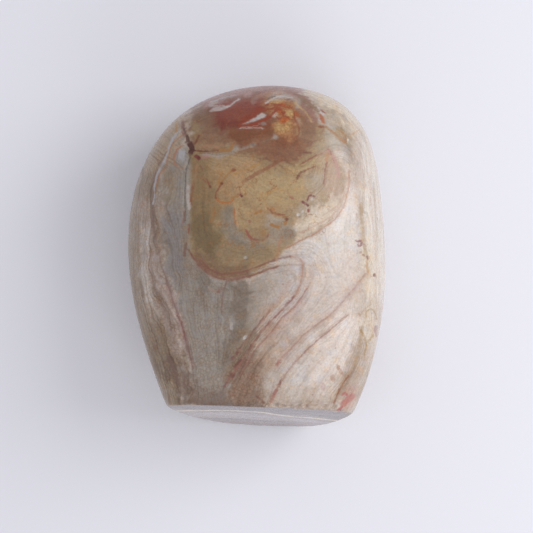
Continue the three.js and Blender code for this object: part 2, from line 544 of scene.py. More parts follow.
SHOULDER_FIELDS = [
    ("shoulder", 8, 5, 1.0, [(20, 43), (23, 40), (25, 36)]),
    ("pale_rim", 6, 4, 1.0, [(17, 48), (24, 44), (29, 38)]),
    ("dove", 4, 3, 0.9, [(20, 35.5), (21, 33)]),
    ("moss", 3, 2.5, 0.9, [(22.5, 35.5), (24.5, 33.5)]),
    ("slate", 2.6, 2.6, 0.5, [(24.6, 33), (25.6, 28.5)]),
    ("moss", 3, 3, 0.5, [(17.5, 34.5), (18.2, 32)]),
    # Pale jasper with a painted highlight along the right ridge.
    ("pale_with_highlight", 3.5, 3, 0.45, [(25.4, 21), (25.4, 14), (22, 8.5)]),
]
print("washes on the crown and shoulder:", len(CAP_FIELDS) + len(SHOULDER_FIELDS))

# %% [markdown]
# Inside the crown small lenses of chalcedony and ochre stand out. They are too wide for
# a vein, so each is a filled outline of its own, given by its tint, softness, strength
# and corners.

# %% Lenses in the crown
TINTS.update({
    "wisp": (186, 176, 170), "ember": (172, 84, 28), "straw": (196, 166, 110),
    "burnt": (134, 54, 24),
})
LENSES = [
    ("wisp", 0.6, 0.85, [(-5, 37.8), (-3, 38.8), (-1, 39.9), (0.4, 41), (1.2, 41.5), (2.4, 41),
                         (2.3, 40.2), (1, 39.6), (-1.5, 38.8)]),
    ("slate", 0.5, 0.8, [(0.5, 38.3), (1.2, 38.8), (2.2, 38.7), (2.5, 38.1), (1.5, 37.9)]),
    ("wisp", 0.5, 0.75, [(-13.5, 41.8), (-12.6, 42.6), (-11, 43), (-9.5, 42.8), (-8.3, 43.5),
                         (-8.6, 42.7), (-10, 42.1), (-12, 41.9)]),
    ("silver", 0.7, 0.6, [(-13.6, 43.2), (-12.8, 44.4), (-11, 44.9), (-11.5, 44), (-12.4, 43.2)]),
    ("tan_grey", 1.0, 0.9, [(-16.5, 29.7), (-13, 30.2), (-10, 30.1), (-8, 30.4), (-7, 31.1),
                            (-6.3, 32), (-5.5, 32.2), (-5.3, 31.2), (-6, 30.4), (-8, 29.5),
                            (-11, 28.9), (-14, 29.1)]),
    ("tan_grey", 0.8, 0.7, [(-5.3, 30.9), (-4.4, 31.7), (-3, 32.2), (-1, 32.9), (-0.4, 32.3),
                            (-2, 31.6), (-3.5, 31.2), (-4.6, 30.8)]),
    ("cap_brown", 0.9, 0.9, [(0.8, 33.1), (2, 34), (4.2, 34.7), (5.6, 35), (5.9, 34.2),
                             (4, 33.7), (2.5, 33.1)]),
    ("silver", 0.9, 0.6, [(4.1, 34.2), (4.6, 35.4), (5.4, 35), (5.3, 34.2)]),
    ("straw", 1.4, 0.7, [(3.6, 44), (4.8, 45), (7.2, 44.9), (6.8, 44.1), (5, 43.8)]),
    ("straw", 1.2, 0.65, [(7.6, 40.6), (7.8, 42), (9.2, 42.3), (10, 41.4), (9.6, 40.4)]),
    ("straw", 1.6, 0.5, [(4.9, 36.2), (5.4, 38.2), (6.4, 38.8), (7.3, 38.3), (8.6, 39.3),
                         (9.6, 38.2), (9, 36.4), (7, 35.8)]),
    ("rosy_tan", 0.8, 0.6, [(4.1, 40.2), (4.2, 41.6), (5, 41.8), (5.6, 40.8), (5, 40)]),
    ("blush", 1.2, 0.6, [(10.2, 38.2), (10.4, 40), (11.8, 39.8), (12, 38.2), (11, 37.4)]),
    ("sand", 0.9, 0.6, [(11, 35.4), (10.9, 37), (11.6, 37.2), (12, 35.6), (11.6, 34.8)]),
    ("ember", 0.6, 0.9, [(5.7, 43.2), (6.3, 44.1), (7.4, 44.1), (8.1, 43.3), (9.3, 42.9),
                         (8.9, 42.4), (7.4, 42.9)]),
    ("ember", 0.7, 0.9, [(6, 38.8), (6.8, 39.6), (7.7, 40.2), (9, 39.8), (8.2, 39.2), (7, 38.7)]),
    ("ember", 0.6, 0.8, [(4.6, 42.2), (5.4, 42.9), (6.2, 42.5), (7.4, 41.4), (7, 40.4), (6, 41.2)]),
    ("ember", 0.8, 0.8, [(10.3, 41.8), (11, 41.7), (11.7, 40.9), (11.4, 39.8), (10.8, 40.4)]),
    ("ember", 0.6, 0.8, [(17, 41), (17.8, 40.9), (18.8, 39.2), (18.7, 38.2), (17.8, 38.8)]),
    ("dove", 1.0, 0.8, [(2.2, 12.8), (3.6, 13.1), (5.5, 12.2), (7.2, 11.7), (7.4, 10.9),
                        (5.5, 11), (3.8, 11.5)]),
]
print("lenses:", len(LENSES))

# %% [markdown]
# ## Bands
# Below the olive patch the jasper is banded. Each band is a thin red-brown layer with
# soft edges, and the whole set is folded round the end of the patch like cloth.

# %% The folded bands
FIRST_BAND = [(8.5, -6), (7, -9), (3.5, -13.5), (1, -17), (-2.5, -21), (-4.5, -24), (-6.7, -27)]
SECOND_BAND = [(12.6, -1), (12.3, -5), (10.3, -9.5), (7, -13.3), (1.5, -19), (-2, -24),
               (-4.5, -28), (-7, -31.5), (-9, -34.5)]
THIRD_BAND = [(15, -3), (13.8, -7.5), (11, -11.8), (7, -15.5), (3, -20.5), (-1, -25),
              (-3.5, -29.5), (-4.7, -31.5)]
FOURTH_BAND = [(30, -3.5), (26, -8.5), (20.5, -14.5), (14, -19.5), (8, -25.5), (5.3, -28.7)]
FIFTH_BAND = [(25, -15), (20.5, -18.8), (15, -23.5), (10, -28.5), (7.3, -32.3), (5.3, -35.5),
              (3.8, -39)]
OUTER_ARC = [(-18.5, 2), (-15.5, -1.8), (-12, -4.2), (-7, -5), (-2, -4), (3, -2.2), (5.5, -1.4)]
INNER_ARC = [(-16, 0.5), (-13, -2.3), (-9, -3.5), (-4, -2.8), (0, -1.5), (4.5, 0.3), (9, 1.4),
             (11, 1.2)]
LEFT_SEAM = [(-28.9, 20), (-29, 15), (-28.9, 10), (-27.8, 4), (-26.8, -1), (-25.3, -5),
             (-23.5, -11), (-21.3, -17), (-19.7, -23), (-18, -28.5), (-17.3, -32),
             (-16.3, -35), (-13, -37)]
RIGHT_SEAM = [(29, -18.5), (28.5, -23), (27, -28.5), (24, -33.5), (21, -39)]
OLIVE_RIM = [(25.5, 25), (25.3, 20), (23, 13.5), (18, 9), (12.5, 6), (8, 3.8)]

TINTS.update({"bruise": (132, 78, 82), "seam_brown": (116, 88, 78)})
BANDS = [
    ("band_tan", 1.4, 1.6, 0.35, FIRST_BAND[:4]),
    ("band_red", 1.2, 1.4, 0.35, SECOND_BAND[:5]),
    ("band_tan", 1.6, 1.8, 0.35, THIRD_BAND[:5]),
    ("band_tan", 2.2, 2.5, 0.45, FOURTH_BAND),
    ("band_tan", 1.3, 1.6, 0.35, FIFTH_BAND),
    ("band_red", 1.0, 1.2, 0.35, OUTER_ARC),
    ("band_red", 0.9, 0.9, 0.25, INNER_ARC),
    ("seam_brown", 1.3, 1.5, 0.2, LEFT_SEAM),
    ("bruise", 1.4, 1.4, 0.35, LEFT_SEAM[5:10]),
    ("gold", 0.8, 1.0, 0.45, RIGHT_SEAM),
    ("band_tan", 0.7, 0.9, 0.35, OLIVE_RIM),
    ("chalk", 0.8, 1.0, 0.45, [(-2, -3.2), (1, -2.3), (4, -0.6), (7, 0.3), (10.5, 0.3)]),
    ("chalk", 1.1, 1.3, 0.45, [(13.8, 1), (14, -4), (12.4, -8.5), (9.5, -11.5), (5, -16.3)]),
    ("chalk", 1.0, 1.3, 0.4, [(11, -2), (10.6, -6), (8.5, -10), (5, -13.8), (2, -17.3)]),
    ("chalk", 1.5, 1.8, 0.25, [(17, -19.5), (12, -23.8), (8, -28.2), (5.5, -32), (3.5, -35)]),
    ("rose_grey", 3.0, 2.5, 0.6, [(-29, 2), (-28, -5), (-26, -12), (-24, -17), (-22, -24)]),
    ("rose", 1.6, 1.6, 0.2, [(13, -11), (10, -14.5), (7, -17.5), (4, -20.5)]),
]
print("bands:", len(BANDS))

# %% [markdown]
# ## Laying the paint on
# The washes go on in order: the ground, the olive patch, the shoulder, the red crown, its
# lenses and last the bands. Rough noise frays every edge, but only where it fades, so no
# wash shows a drawn outline. Painting in numbers instead of with a brush keeps each
# stroke easy to move.

# %% Paint the front
PATCH_SOFTNESS, CAP_SOFTNESS = 1.6, 4.0
RAGGED = 0.55
GRIT_FALL, GRIT_STEP, GRIT_LAYERS = 0.6, 2.1, 4


def grit_of(places, size, seed):
    """Rough noise from about -1 to 1, which breaks up the edges of the washes."""
    offset = Vector((seed * 13.0, seed * 7.0, seed * 3.0))
    return np.array([
        noise.fractal(Vector(place) / size + offset, GRIT_FALL, GRIT_STEP, GRIT_LAYERS)
        for place in places
    ])


def frayed(near, grit):
    """Closeness with noise in it, but only where the edge fades."""
    return np.clip(near + RAGGED * grit * 4 * near * (1 - near), 0, 1)


def layer_over(colours, near, grit, strength, name):
    """Lay one tint over the colours."""
    amount = strength * smoothed(frayed(near, grit))
    colours += amount[:, None] * (linear(TINTS[name]) - colours)


def wash(colours, positions, grit, strokes):
    """Lay strokes over the colours, one after another."""
    for turn, (name, width, softness, strength, corners) in enumerate(strokes):
        near = closeness(positions, width, softness, corners)
        layer_over(colours, near, grit[turn % len(grit)], strength, name)


def inside_outline(positions, softness, corners):
    """Closeness for a filled outline: 1 well inside, 0.5 on the line, 0 outside."""
    curve = smooth_curve(corners + corners[:1])
    inside = np.zeros(len(positions), dtype=bool)
    for (x0, y0), (x1, y1) in zip(curve[:-1], curve[1:]):
        if y0 != y1:
            spans = (positions[:, 1] > y0) != (positions[:, 1] > y1)
            crossing = x0 + (positions[:, 1] - y0) * (x1 - x0) / (y1 - y0)
            inside ^= spans & (positions[:, 0] < crossing)
    edge = distance_to(curve, positions)
    return np.clip(np.where(inside, edge, -edge) / softness + 0.5, 0, 1)


def plain_ground(count, name):
    """One tint for every point."""
    return np.tile(linear(TINTS[name]), (count, 1))


grit = [grit_of(places, size, seed) for size, seed in ((3.0, 1), (2.2, 2), (4.0, 3))]
tint = plain_ground(len(places), "cream")
wash(tint, soft_map, grit, LEFT_FIELDS + MIDDLE_FIELDS + FACE_FIELDS + SIDE_FIELDS)
patch = inside_outline(line_map, PATCH_SOFTNESS, PATCH_OUTLINE)
patch_tint = plain_ground(len(places), "patch")
wash(patch_tint, soft_map, grit, PATCH_FIELDS)
tint += smoothed(patch)[:, None] * (patch_tint - tint)
wash(tint, soft_map, grit, SHOULDER_FIELDS)
cap = frayed(inside_outline(soft_map, CAP_SOFTNESS, CAP_OUTLINE), grit[1])
cap_tint = plain_ground(len(places), "cap")
wash(cap_tint, soft_map, grit, CAP_FIELDS)
tint += smoothed(cap)[:, None] * (cap_tint - tint)
for turn, (name, softness, strength, corners) in enumerate(LENSES):
    lens = inside_outline(line_map, softness, corners)
    layer_over(tint, lens, grit[turn % len(grit)], strength, name)
wash(tint, line_map, grit, BANDS)
print("mean tint:", tint.mean(0).round(3))

# %% [markdown]
# ## The sawn end
# The cut shows the layers end on. Seen this steeply, its polish mirrors the pale table,
# so its lilac grey is partly painted reflection, and so are the darker band along its
# front edge, the lighter band lower down and the one thin bright line that winds across;
# the red, tan and mauve strokes are the rock's own. It is painted in the plane of the
# cut, from side to side and from the front edge down.

# %% Paint the sawn end
CUT_MARGIN, CUT_FACING = 0.02, 0.9
# On the cut, the grey, the darker band near the front edge, the lighter band and the thin bright
# line are painted reflection of the pale table; the red, tan and mauve strokes are rock.
CUT_FIELDS = [
    ("cut_dark", 12, 3, 0.9, [(-30, 5), (-8, 4.5), (6, 8), (30, 16)]),
    ("cut_table_reflection", 14, 4, 0.9, [(-30, 27), (-6, 24), (10, 31), (22, 36)]),
    ("cut_dark", 9, 5, 0.7, [(20, 12), (24, 30)]),
    ("cut_brown", 5, 5, 0.7, [(8, 3), (18, 5), (26, 12)]),
    ("cut_table_reflection", 5, 5, 0.8, [(-20, 22), (-10, 18), (-4, 19)]),
    ("cut_dark", 4, 4, 0.6, [(-24, 33), (0, 34), (24, 40)]),
    ("mauve", 5, 5, 0.4, [(-14, 42), (4, 44), (14, 42)]),
    ("cut_reflected_line", 1.9, 1.3, 1.0, [(-26, 17), (-20, 15), (-10, 11), (0, 12), (5, 17),
                                   (10, 20.5), (15, 22), (20, 25.5), (26, 28)]),
    ("band_red", 1.0, 1.2, 0.4, [(-26, 20), (-18, 18.5), (-8, 15), (0, 16.5), (9, 24), (22, 29)]),
    ("band_tan", 1.6, 1.6, 0.4, [(-22, 30), (-10, 27), (2, 29), (12, 34), (22, 37)]),
    ("cap_red", 3, 3, 0.5, [(24, 1.5), (26, 6)]),
]


def cut_map_of(cut_places):
    """Position in the plane of the cut in mm: sideways, and down from its front edge."""
    down = (cut_places[:, 2].max() - cut_places[:, 2]) / math.cos(SAW_UPWARDS)
    return np.stack([cut_places[:, 0], down], axis=1)


level = places @ saw
on_cut = (level > level.max() - CUT_MARGIN) & (facing @ saw > CUT_FACING)
cut_places = places[on_cut]
cut_map = cut_map_of(cut_places)
cut_shift = wander(cut_places, size=5.0, amount=0.8, seed=4)
# The cut's grey ground, partly painted reflection of the pale table.
cut_tint = plain_ground(len(cut_places), "cut_grey_and_reflection")
wash(cut_tint, cut_map + cut_shift, [layer[on_cut] for layer in grit], CUT_FIELDS)
tint[on_cut] = cut_tint
print("points on the sawn end:", int(on_cut.sum()))

# %% [markdown]
# ## The run of the grain
# Fine streaks follow the layers everywhere. Think of the layers as the contour lines of
# a hill: if the height of the hill is known at each point, streaks are simply lines of
# equal height. The heights are given along a few guide lines, and a thin bent sheet is
# laid through them to find the height in between. On the sawn end the height is simply
# the way down from its front edge.

# %% Guide lines and the height between them
GUIDES = [
    (-1, [(-33.5, 25), (-35.3, 10), (-35.5, 0), (-34.5, -8), (-33, -16), (-30, -26), (-27, -36)]),
    (5, [(-31, 26), (-32.2, 12), (-32.8, 0), (-31.5, -10), (-29, -19), (-25.5, -30), (-24, -38)]),
    (10, LEFT_SEAM[:10]),
    (20, [(-20.3, 26), (-20.3, 12), (-19, 2), (-16.5, -8), (-15, -18), (-13, -27), (-12, -38)]),
    (29, [(-9, -7), (-10, -15), (-9.5, -23), (-11, -31), (-11.5, -38)]),
    (32, FIRST_BAND),
    (35, SECOND_BAND),
    (35, OUTER_ARC),
    (38, THIRD_BAND),
    (42, [(17, 1), (19, -5), (17, -11), (12, -17), (6, -23), (1, -29), (-2, -37)]),
    (45, OLIVE_RIM),
    (48, FOURTH_BAND),
    (54, FIFTH_BAND),
    (61, [(26, 24), (27, 12), (28, 2), (28, -8), (26.5, -18), (22, -27), (16, -35), (13, -40)]),
    (68, [(28.5, 30), (29.3, 14), (30.2, 2), (30.4, -10), (29.5, -20), (27, -28.5), (21, -39)]),
    (73, [(29.8, 30), (31.5, 18), (32.3, 5), (32.8, -8), (32, -20), (29, -30), (24.5, -39)]),
    (40, [(-16, 22), (-15.5, 10), (-13, 2), (-6, -1), (2, 2)]),
    (46, [(-10, 24), (-10, 12), (-6, 5), (2, 6), (10, 11)]),
    (54, [(-2, 24), (4, 21), (12, 19), (18, 22)]),
    (62, [(-14, 31), (-6, 31.5), (4, 32), (14, 31), (19, 33)]),
    (70, [(-18, 38), (-8, 39), (2, 41), (10, 40.5), (17, 40)]),
    (78, [(-12, 45), (-2, 47), (8, 47), (16, 45)]),
]
SHEET_SLACK = 2.0
GRAIN_WANDER = 0.35
CUT_HEIGHT, CUT_WANDER = 100, 1.5


def sheet_shape(gap):
    """Thin-plate spline kernel."""
    return gap * gap * np.log(np.maximum(gap, 1e-6))


def bent_sheet(guides):
    """Weights of the thin sheet that passes close to all guide lines."""
    pins = []
    heights = []
    for height, corners in guides:
        curve = smooth_curve(corners)[::2]
        pins.append(curve)
        heights += [height] * len(curve)
    pins = np.vstack(pins)
    gaps = np.linalg.norm(pins[:, None] - pins[None], axis=2)
    plane = np.column_stack([np.ones(len(pins)), pins])
    bend = sheet_shape(gaps) + SHEET_SLACK * np.eye(len(pins))
    system = np.block([[bend, plane], [plane.T, np.zeros((3, 3))]])
    return pins, np.linalg.solve(system, np.append(heights, [0, 0, 0]))


def sheet_height(positions, pins, weights):
    """Height of the sheet at every position."""
    height = weights[-3] + positions @ weights[-2:]
    for pin, weight in zip(pins, weights):
        height += weight * sheet_shape(np.linalg.norm(positions - pin, axis=1))
    return height


pins, weights = bent_sheet(GUIDES)
flow = sheet_height(plain_map + GRAIN_WANDER * (soft_map - plain_map), pins, weights)
flow[on_cut] = CUT_HEIGHT + (cut_map + CUT_WANDER * cut_shift)[:, 1]
print("pins:", len(pins), "grain height from", flow.min().round(), "to", flow.max().round())

# %% [markdown]
# ## Where the grain shows
# The streaks are strong on both flanks and in the banded part, and faint in the patch
# and on the crown. Rusty hairlines run through the patch, and a crust of tiny grains
# roughens the middle and the foot. Each strength is painted like the washes, with
# strokes that give a value, a width, a softness and a few points. The ground-flat sawn
# end shows little of any of them.

# %% Strength of the streaks, hairlines and crust
GRAIN_GROUND = 0.55
GRAIN_FIELDS = [
    (1.2, 16, 8, [(-34, 30), (-34, 0), (-26, -36)]),
    (0.42, 20, 8, [(20, -4), (14, -18), (12, -32)]),
    (0.7, 7, 5, [(-2, -22), (-4, -32), (-4, -40)]),
    (0.55, 8, 4, [(31.5, 34), (33.5, 15), (34.5, 0), (33, -20)]),
    (1.0, 6, 4, [(40, 34), (42, 10), (41, -22)]),
    (0.3, 16, 6, [(-12, 22), (-12, 4), (4, 4), (6, 18)]),
    (0.2, 14, 6, [(24, 12), (24, -4)]),
    (0.4, 8, 4, [(8, -2), (14, 0), (15, -6)]),
    (0.35, 16, 6, [(-14, 38), (0, 40), (14, 40)]),
    (1.1, 10, 4, [(-20, 53), (0, 54), (20, 53)]),
]


def painted_value(ground, positions, strokes):
    """One value everywhere, with soft strokes of other values over it."""
    value = np.full(len(positions), float(ground))
    for target, width, softness, corners in strokes:
        value += smoothed(closeness(positions, width, softness, corners)) * (target - value)
    return value


HAIRLINE_GROUND = 0.12
HAIRLINE_FIELDS = [
    (1.0, 18, 6, [(-11, 26), (-9, 14), (-5, 8)]),
    (1.0, 16, 6, [(0, 26), (6, 17), (12, 12)]),
    (0.7, 10, 5, [(16, 26), (18, 20)]),
    (0.6, 10, 5, [(-10, 36), (0, 36), (10, 35)]),
    (1.0, 7, 3, [(5.5, 43), (8.5, 41), (8, 37)]),
    (0.5, 9, 4, [(-28, 24), (-27, 8)]),
    (0.5, 7, 4, [(31, 20), (32, 0), (30, -24)]),
    (0.5, 10, 5, [(-20, 54), (0, 56), (20, 55)]),
]
CRUST_GROUND = 0.35
CRUST_FIELDS = [
    (1.0, 9, 4, [(-5, -29), (-3, -34), (-3, -40)]),
    (0.8, 8, 4, [(-14, -26), (-13, -40)]),
    (0.8, 9, 5, [(-27, -8), (-25, -20), (-22, -34)]),
    (0.7, 12, 6, [(-13, -6), (-11, -18)]),
    (0.7, 8, 4, [(-31, 20), (-32, -4), (-29, -24)]),
    (0.5, 8, 4, [(8, 31), (10, 29)]),
    (1.0, 6, 3, [(5.5, 43), (8.5, 41), (8, 37)]),
    (0.15, 16, 6, [(25, 12), (25, -4), (20, -14), (18, -30)]),
]
CUT_GRAIN, CUT_MOTTLE = 0.10, 0.35

grain = painted_value(GRAIN_GROUND, soft_map, GRAIN_FIELDS)
crust = painted_value(CRUST_GROUND, soft_map, CRUST_FIELDS)
hairlines = painted_value(HAIRLINE_GROUND, soft_map, HAIRLINE_FIELDS)
mottle = np.ones(len(places))
grain[on_cut] = CUT_GRAIN
hairlines[on_cut] = 0.0
crust[on_cut] = 0.0
mottle[on_cut] = CUT_MOTTLE
print("grain strength from", grain.min().round(2), "to", grain.max().round(2))

# %% [markdown]
# ## Veins
# The veins are healed cracks a few tenths of a millimetre wide: rust red, ochre and
# chalk white. A colour on the points of the net would blur them, because a vein is about
# as narrow as the net. So each point stores how far it lies to one side or the other of
# the middle of the nearest vein, and the half width of that vein. Such a distance runs
# evenly from point to point, and the material can cut a sharp edge anywhere in between.

# %% Vein tools
VEIN_REACH = 1.6
VEIN_TAPER = 1.0


def blank_layer(count):
    """For every point: the nearest vein's offset, half width, depth, tint and strength."""
    return {
        "offset": np.full(count, VEIN_REACH), "half": np.zeros(count),
        "depth": np.full(count, -VEIN_REACH), "tint": np.zeros((count, 3)),
        "strength": np.zeros(count),
    }


def engrave(layer, positions, shown, strokes):
    """Cut strokes into a layer; shown is a strength from 0 to 1 at every point."""
    for name, width, strength, corners in strokes:
        curve = smooth_curve(corners)
        margin = width / 2 + VEIN_REACH
        boxed = (positions > curve.min(0) - margin) & (positions < curve.max(0) + margin)
        near = np.flatnonzero(np.all(boxed, axis=1) & (shown > 0))
        offset, past = offset_from(curve, positions[near])
        depth = width / 2 - np.abs(offset)
        taper = np.clip(1 - past / max(VEIN_TAPER, width / 2), 0, 1)
        closer = (depth > layer["depth"][near]) & (taper > 0)
        chosen = near[closer]
        layer["offset"][chosen] = offset[closer]
        layer["half"][chosen] = width / 2
        layer["depth"][chosen] = depth[closer]
        layer["tint"][chosen] = linear(TINTS[name])
        layer["strength"][chosen] = strength * shown[chosen] * taper[closer]


TINTS.update({
    "rust": (128, 70, 44), "rust_red": (138, 66, 54), "maroon": (108, 38, 34),
    "dark_rust": (104, 52, 28), "orange": (164, 96, 40), "honey": (170, 120, 52),
    "white": (214, 211, 209), "blue_white": (176, 176, 182), "rose_vein": (172, 112, 108),
    "faint_rust": (160, 112, 84), "soot": (84, 74, 68), "ochre": (150, 100, 44),
    "glow": (190, 150, 106), "arc_rust": (118, 72, 56),
    "band_rust": (134, 84, 72), "coral": (166, 84, 80), "bead": (104, 60, 50),
    "stain": (70, 18, 8),
})
print("tints with those of the veins:", len(TINTS))

# %% [markdown]
# Each vein gives its tint, width, strength and points. On the left a pale vein and a few
# rusty ones run down from the crown, and burnt veins wind through the orange spot at its
# top.

# %% Veins of the left flank and the crown
CROWN_VEINS = [
    ("seam_brown", 0.45, 0.5, [(-25.3, 30.5), (-26.5, 28.5), (-27.8, 26), (-28.8, 23.5),
                              (-29.3, 20), (-29.3, 16)]),
    ("blue_white", 0.55, 0.7, [(-21.5, 36.5), (-23.5, 34.5), (-24.4, 32), (-26, 27.8),
                               (-27.8, 24.5), (-28.6, 21), (-29, 16)]),
    ("honey", 0.4, 0.7, [(-22.5, 38.5), (-22.6, 36)]),
    ("faint_rust", 0.4, 0.7, [(-21, 34.7), (-22.5, 34), (-24, 32), (-25.3, 27), (-26, 25.5),
                              (-27.3, 24), (-28.2, 21), (-28.7, 19)]),
    ("blue_white", 1.8, 0.55, [(-21, 30.5), (-21.3, 28.5)]),
    ("faint_rust", 0.45, 0.8, [(-20.7, 32.3), (-22.3, 31.3), (-23.3, 29), (-22.8, 27),
                               (-21.6, 26), (-20.5, 26)]),
    ("maroon", 0.9, 0.45, [(-20.9, 39), (-20.8, 37.5), (-20.5, 35.5)]),
    ("dove", 0.5, 0.5, [(-19.5, 27), (-19.6, 23), (-19.5, 20)]),
    ("wisp", 0.9, 0.6, [(-19.4, 21), (-19.4, 18), (-19.1, 14.7)]),
    ("rust", 0.6, 0.6, [(-17.6, 22.5), (-18.1, 20), (-18.4, 17.5), (-18.4, 16)]),
    ("faint_rust", 0.4, 0.5, [(-16.8, 27), (-17.2, 24), (-17.6, 22)]),
    ("dark_rust", 0.45, 0.8, [(-17.8, 31), (-16, 30.8), (-14, 30.6), (-12, 31), (-10.5, 30.8)]),
    ("ochre", 0.9, 0.7, [(-10.5, 31), (-8.5, 30.9), (-7.2, 31.5), (-6.9, 32.4)]),
    ("rust", 0.4, 0.6, [(-8.2, 30.8), (-7.2, 31.5), (-6.6, 33)]),
    ("faint_rust", 0.4, 0.6, [(-15.5, 32.2), (-13, 32.3), (-11, 32)]),
    ("rose_vein", 0.9, 0.4, [(-15.6, 28.9), (-14, 29.1)]),
    ("wisp", 0.45, 0.8, [(-8.6, 43), (-7.5, 43.6), (-6.3, 44.4), (-5, 45.1)]),
    ("wisp", 0.35, 0.6, [(-13, 43.1), (-11.5, 43.3), (-10, 43.3), (-8.9, 42.9)]),
    ("burnt", 0.4, 0.8, [(-5.2, 38.1), (-3, 39.2), (-1, 40.5), (0, 41.7), (2.2, 42)]),
    ("burnt", 0.5, 0.9, [(-5, 37.3), (-2, 38), (1, 39.1), (3, 40.1), (4.2, 41), (5, 42)]),
    ("burnt", 0.5, 0.8, [(2.4, 42.4), (4, 42.5), (5, 42.9), (6.5, 42.6)]),
    ("burnt", 0.4, 0.8, [(2.2, 43.6), (4.2, 43.9), (5.5, 43.3), (6.6, 43.6)]),
    ("burnt", 0.45, 0.8, [(5.2, 42.4), (6.4, 42.1), (7.2, 41.3), (7.9, 41.7)]),
    ("burnt", 0.4, 0.7, [(5.4, 40.2), (6.2, 39.6), (7.2, 40.4), (8.6, 40.2)]),
    ("burnt", 0.4, 0.7, [(9.6, 42.6), (10.3, 41.4), (10.2, 40), (10.8, 38.6)]),
    ("blue_white", 0.4, 0.4, [(-13, 44.3), (-10, 45.4), (-6, 46.3)]),
    ("rosy_tan", 0.3, 0.4, [(-5, 37), (-1, 37.2), (1.5, 37)]),
    ("wisp", 0.45, 0.8, [(2.3, 44.1), (4, 45), (5, 45.8), (7, 46), (9.5, 45.6)]),
    ("soot", 0.4, 0.7, [(2.8, 45.2), (4, 45.8), (5, 46)]),
    ("straw", 0.45, 0.5, [(10.2, 44.3), (11.6, 43.1), (13, 41.8), (14.4, 40.2), (15.1, 38.9)]),
    ("rust", 0.5, 0.6, [(10.8, 39), (11.5, 37), (11.2, 34.8), (9.5, 34.6)]),
    ("cap_brown", 0.9, 0.7, [(11.5, 45.9), (14, 44), (17, 42)]),
]
print("veins of the crown:", len(CROWN_VEINS))

# %% [markdown]
# The olive patch broke up before it healed. Its veins are short, hooked and rusty, and
# a few of them join the ochre veins of the right shoulder.

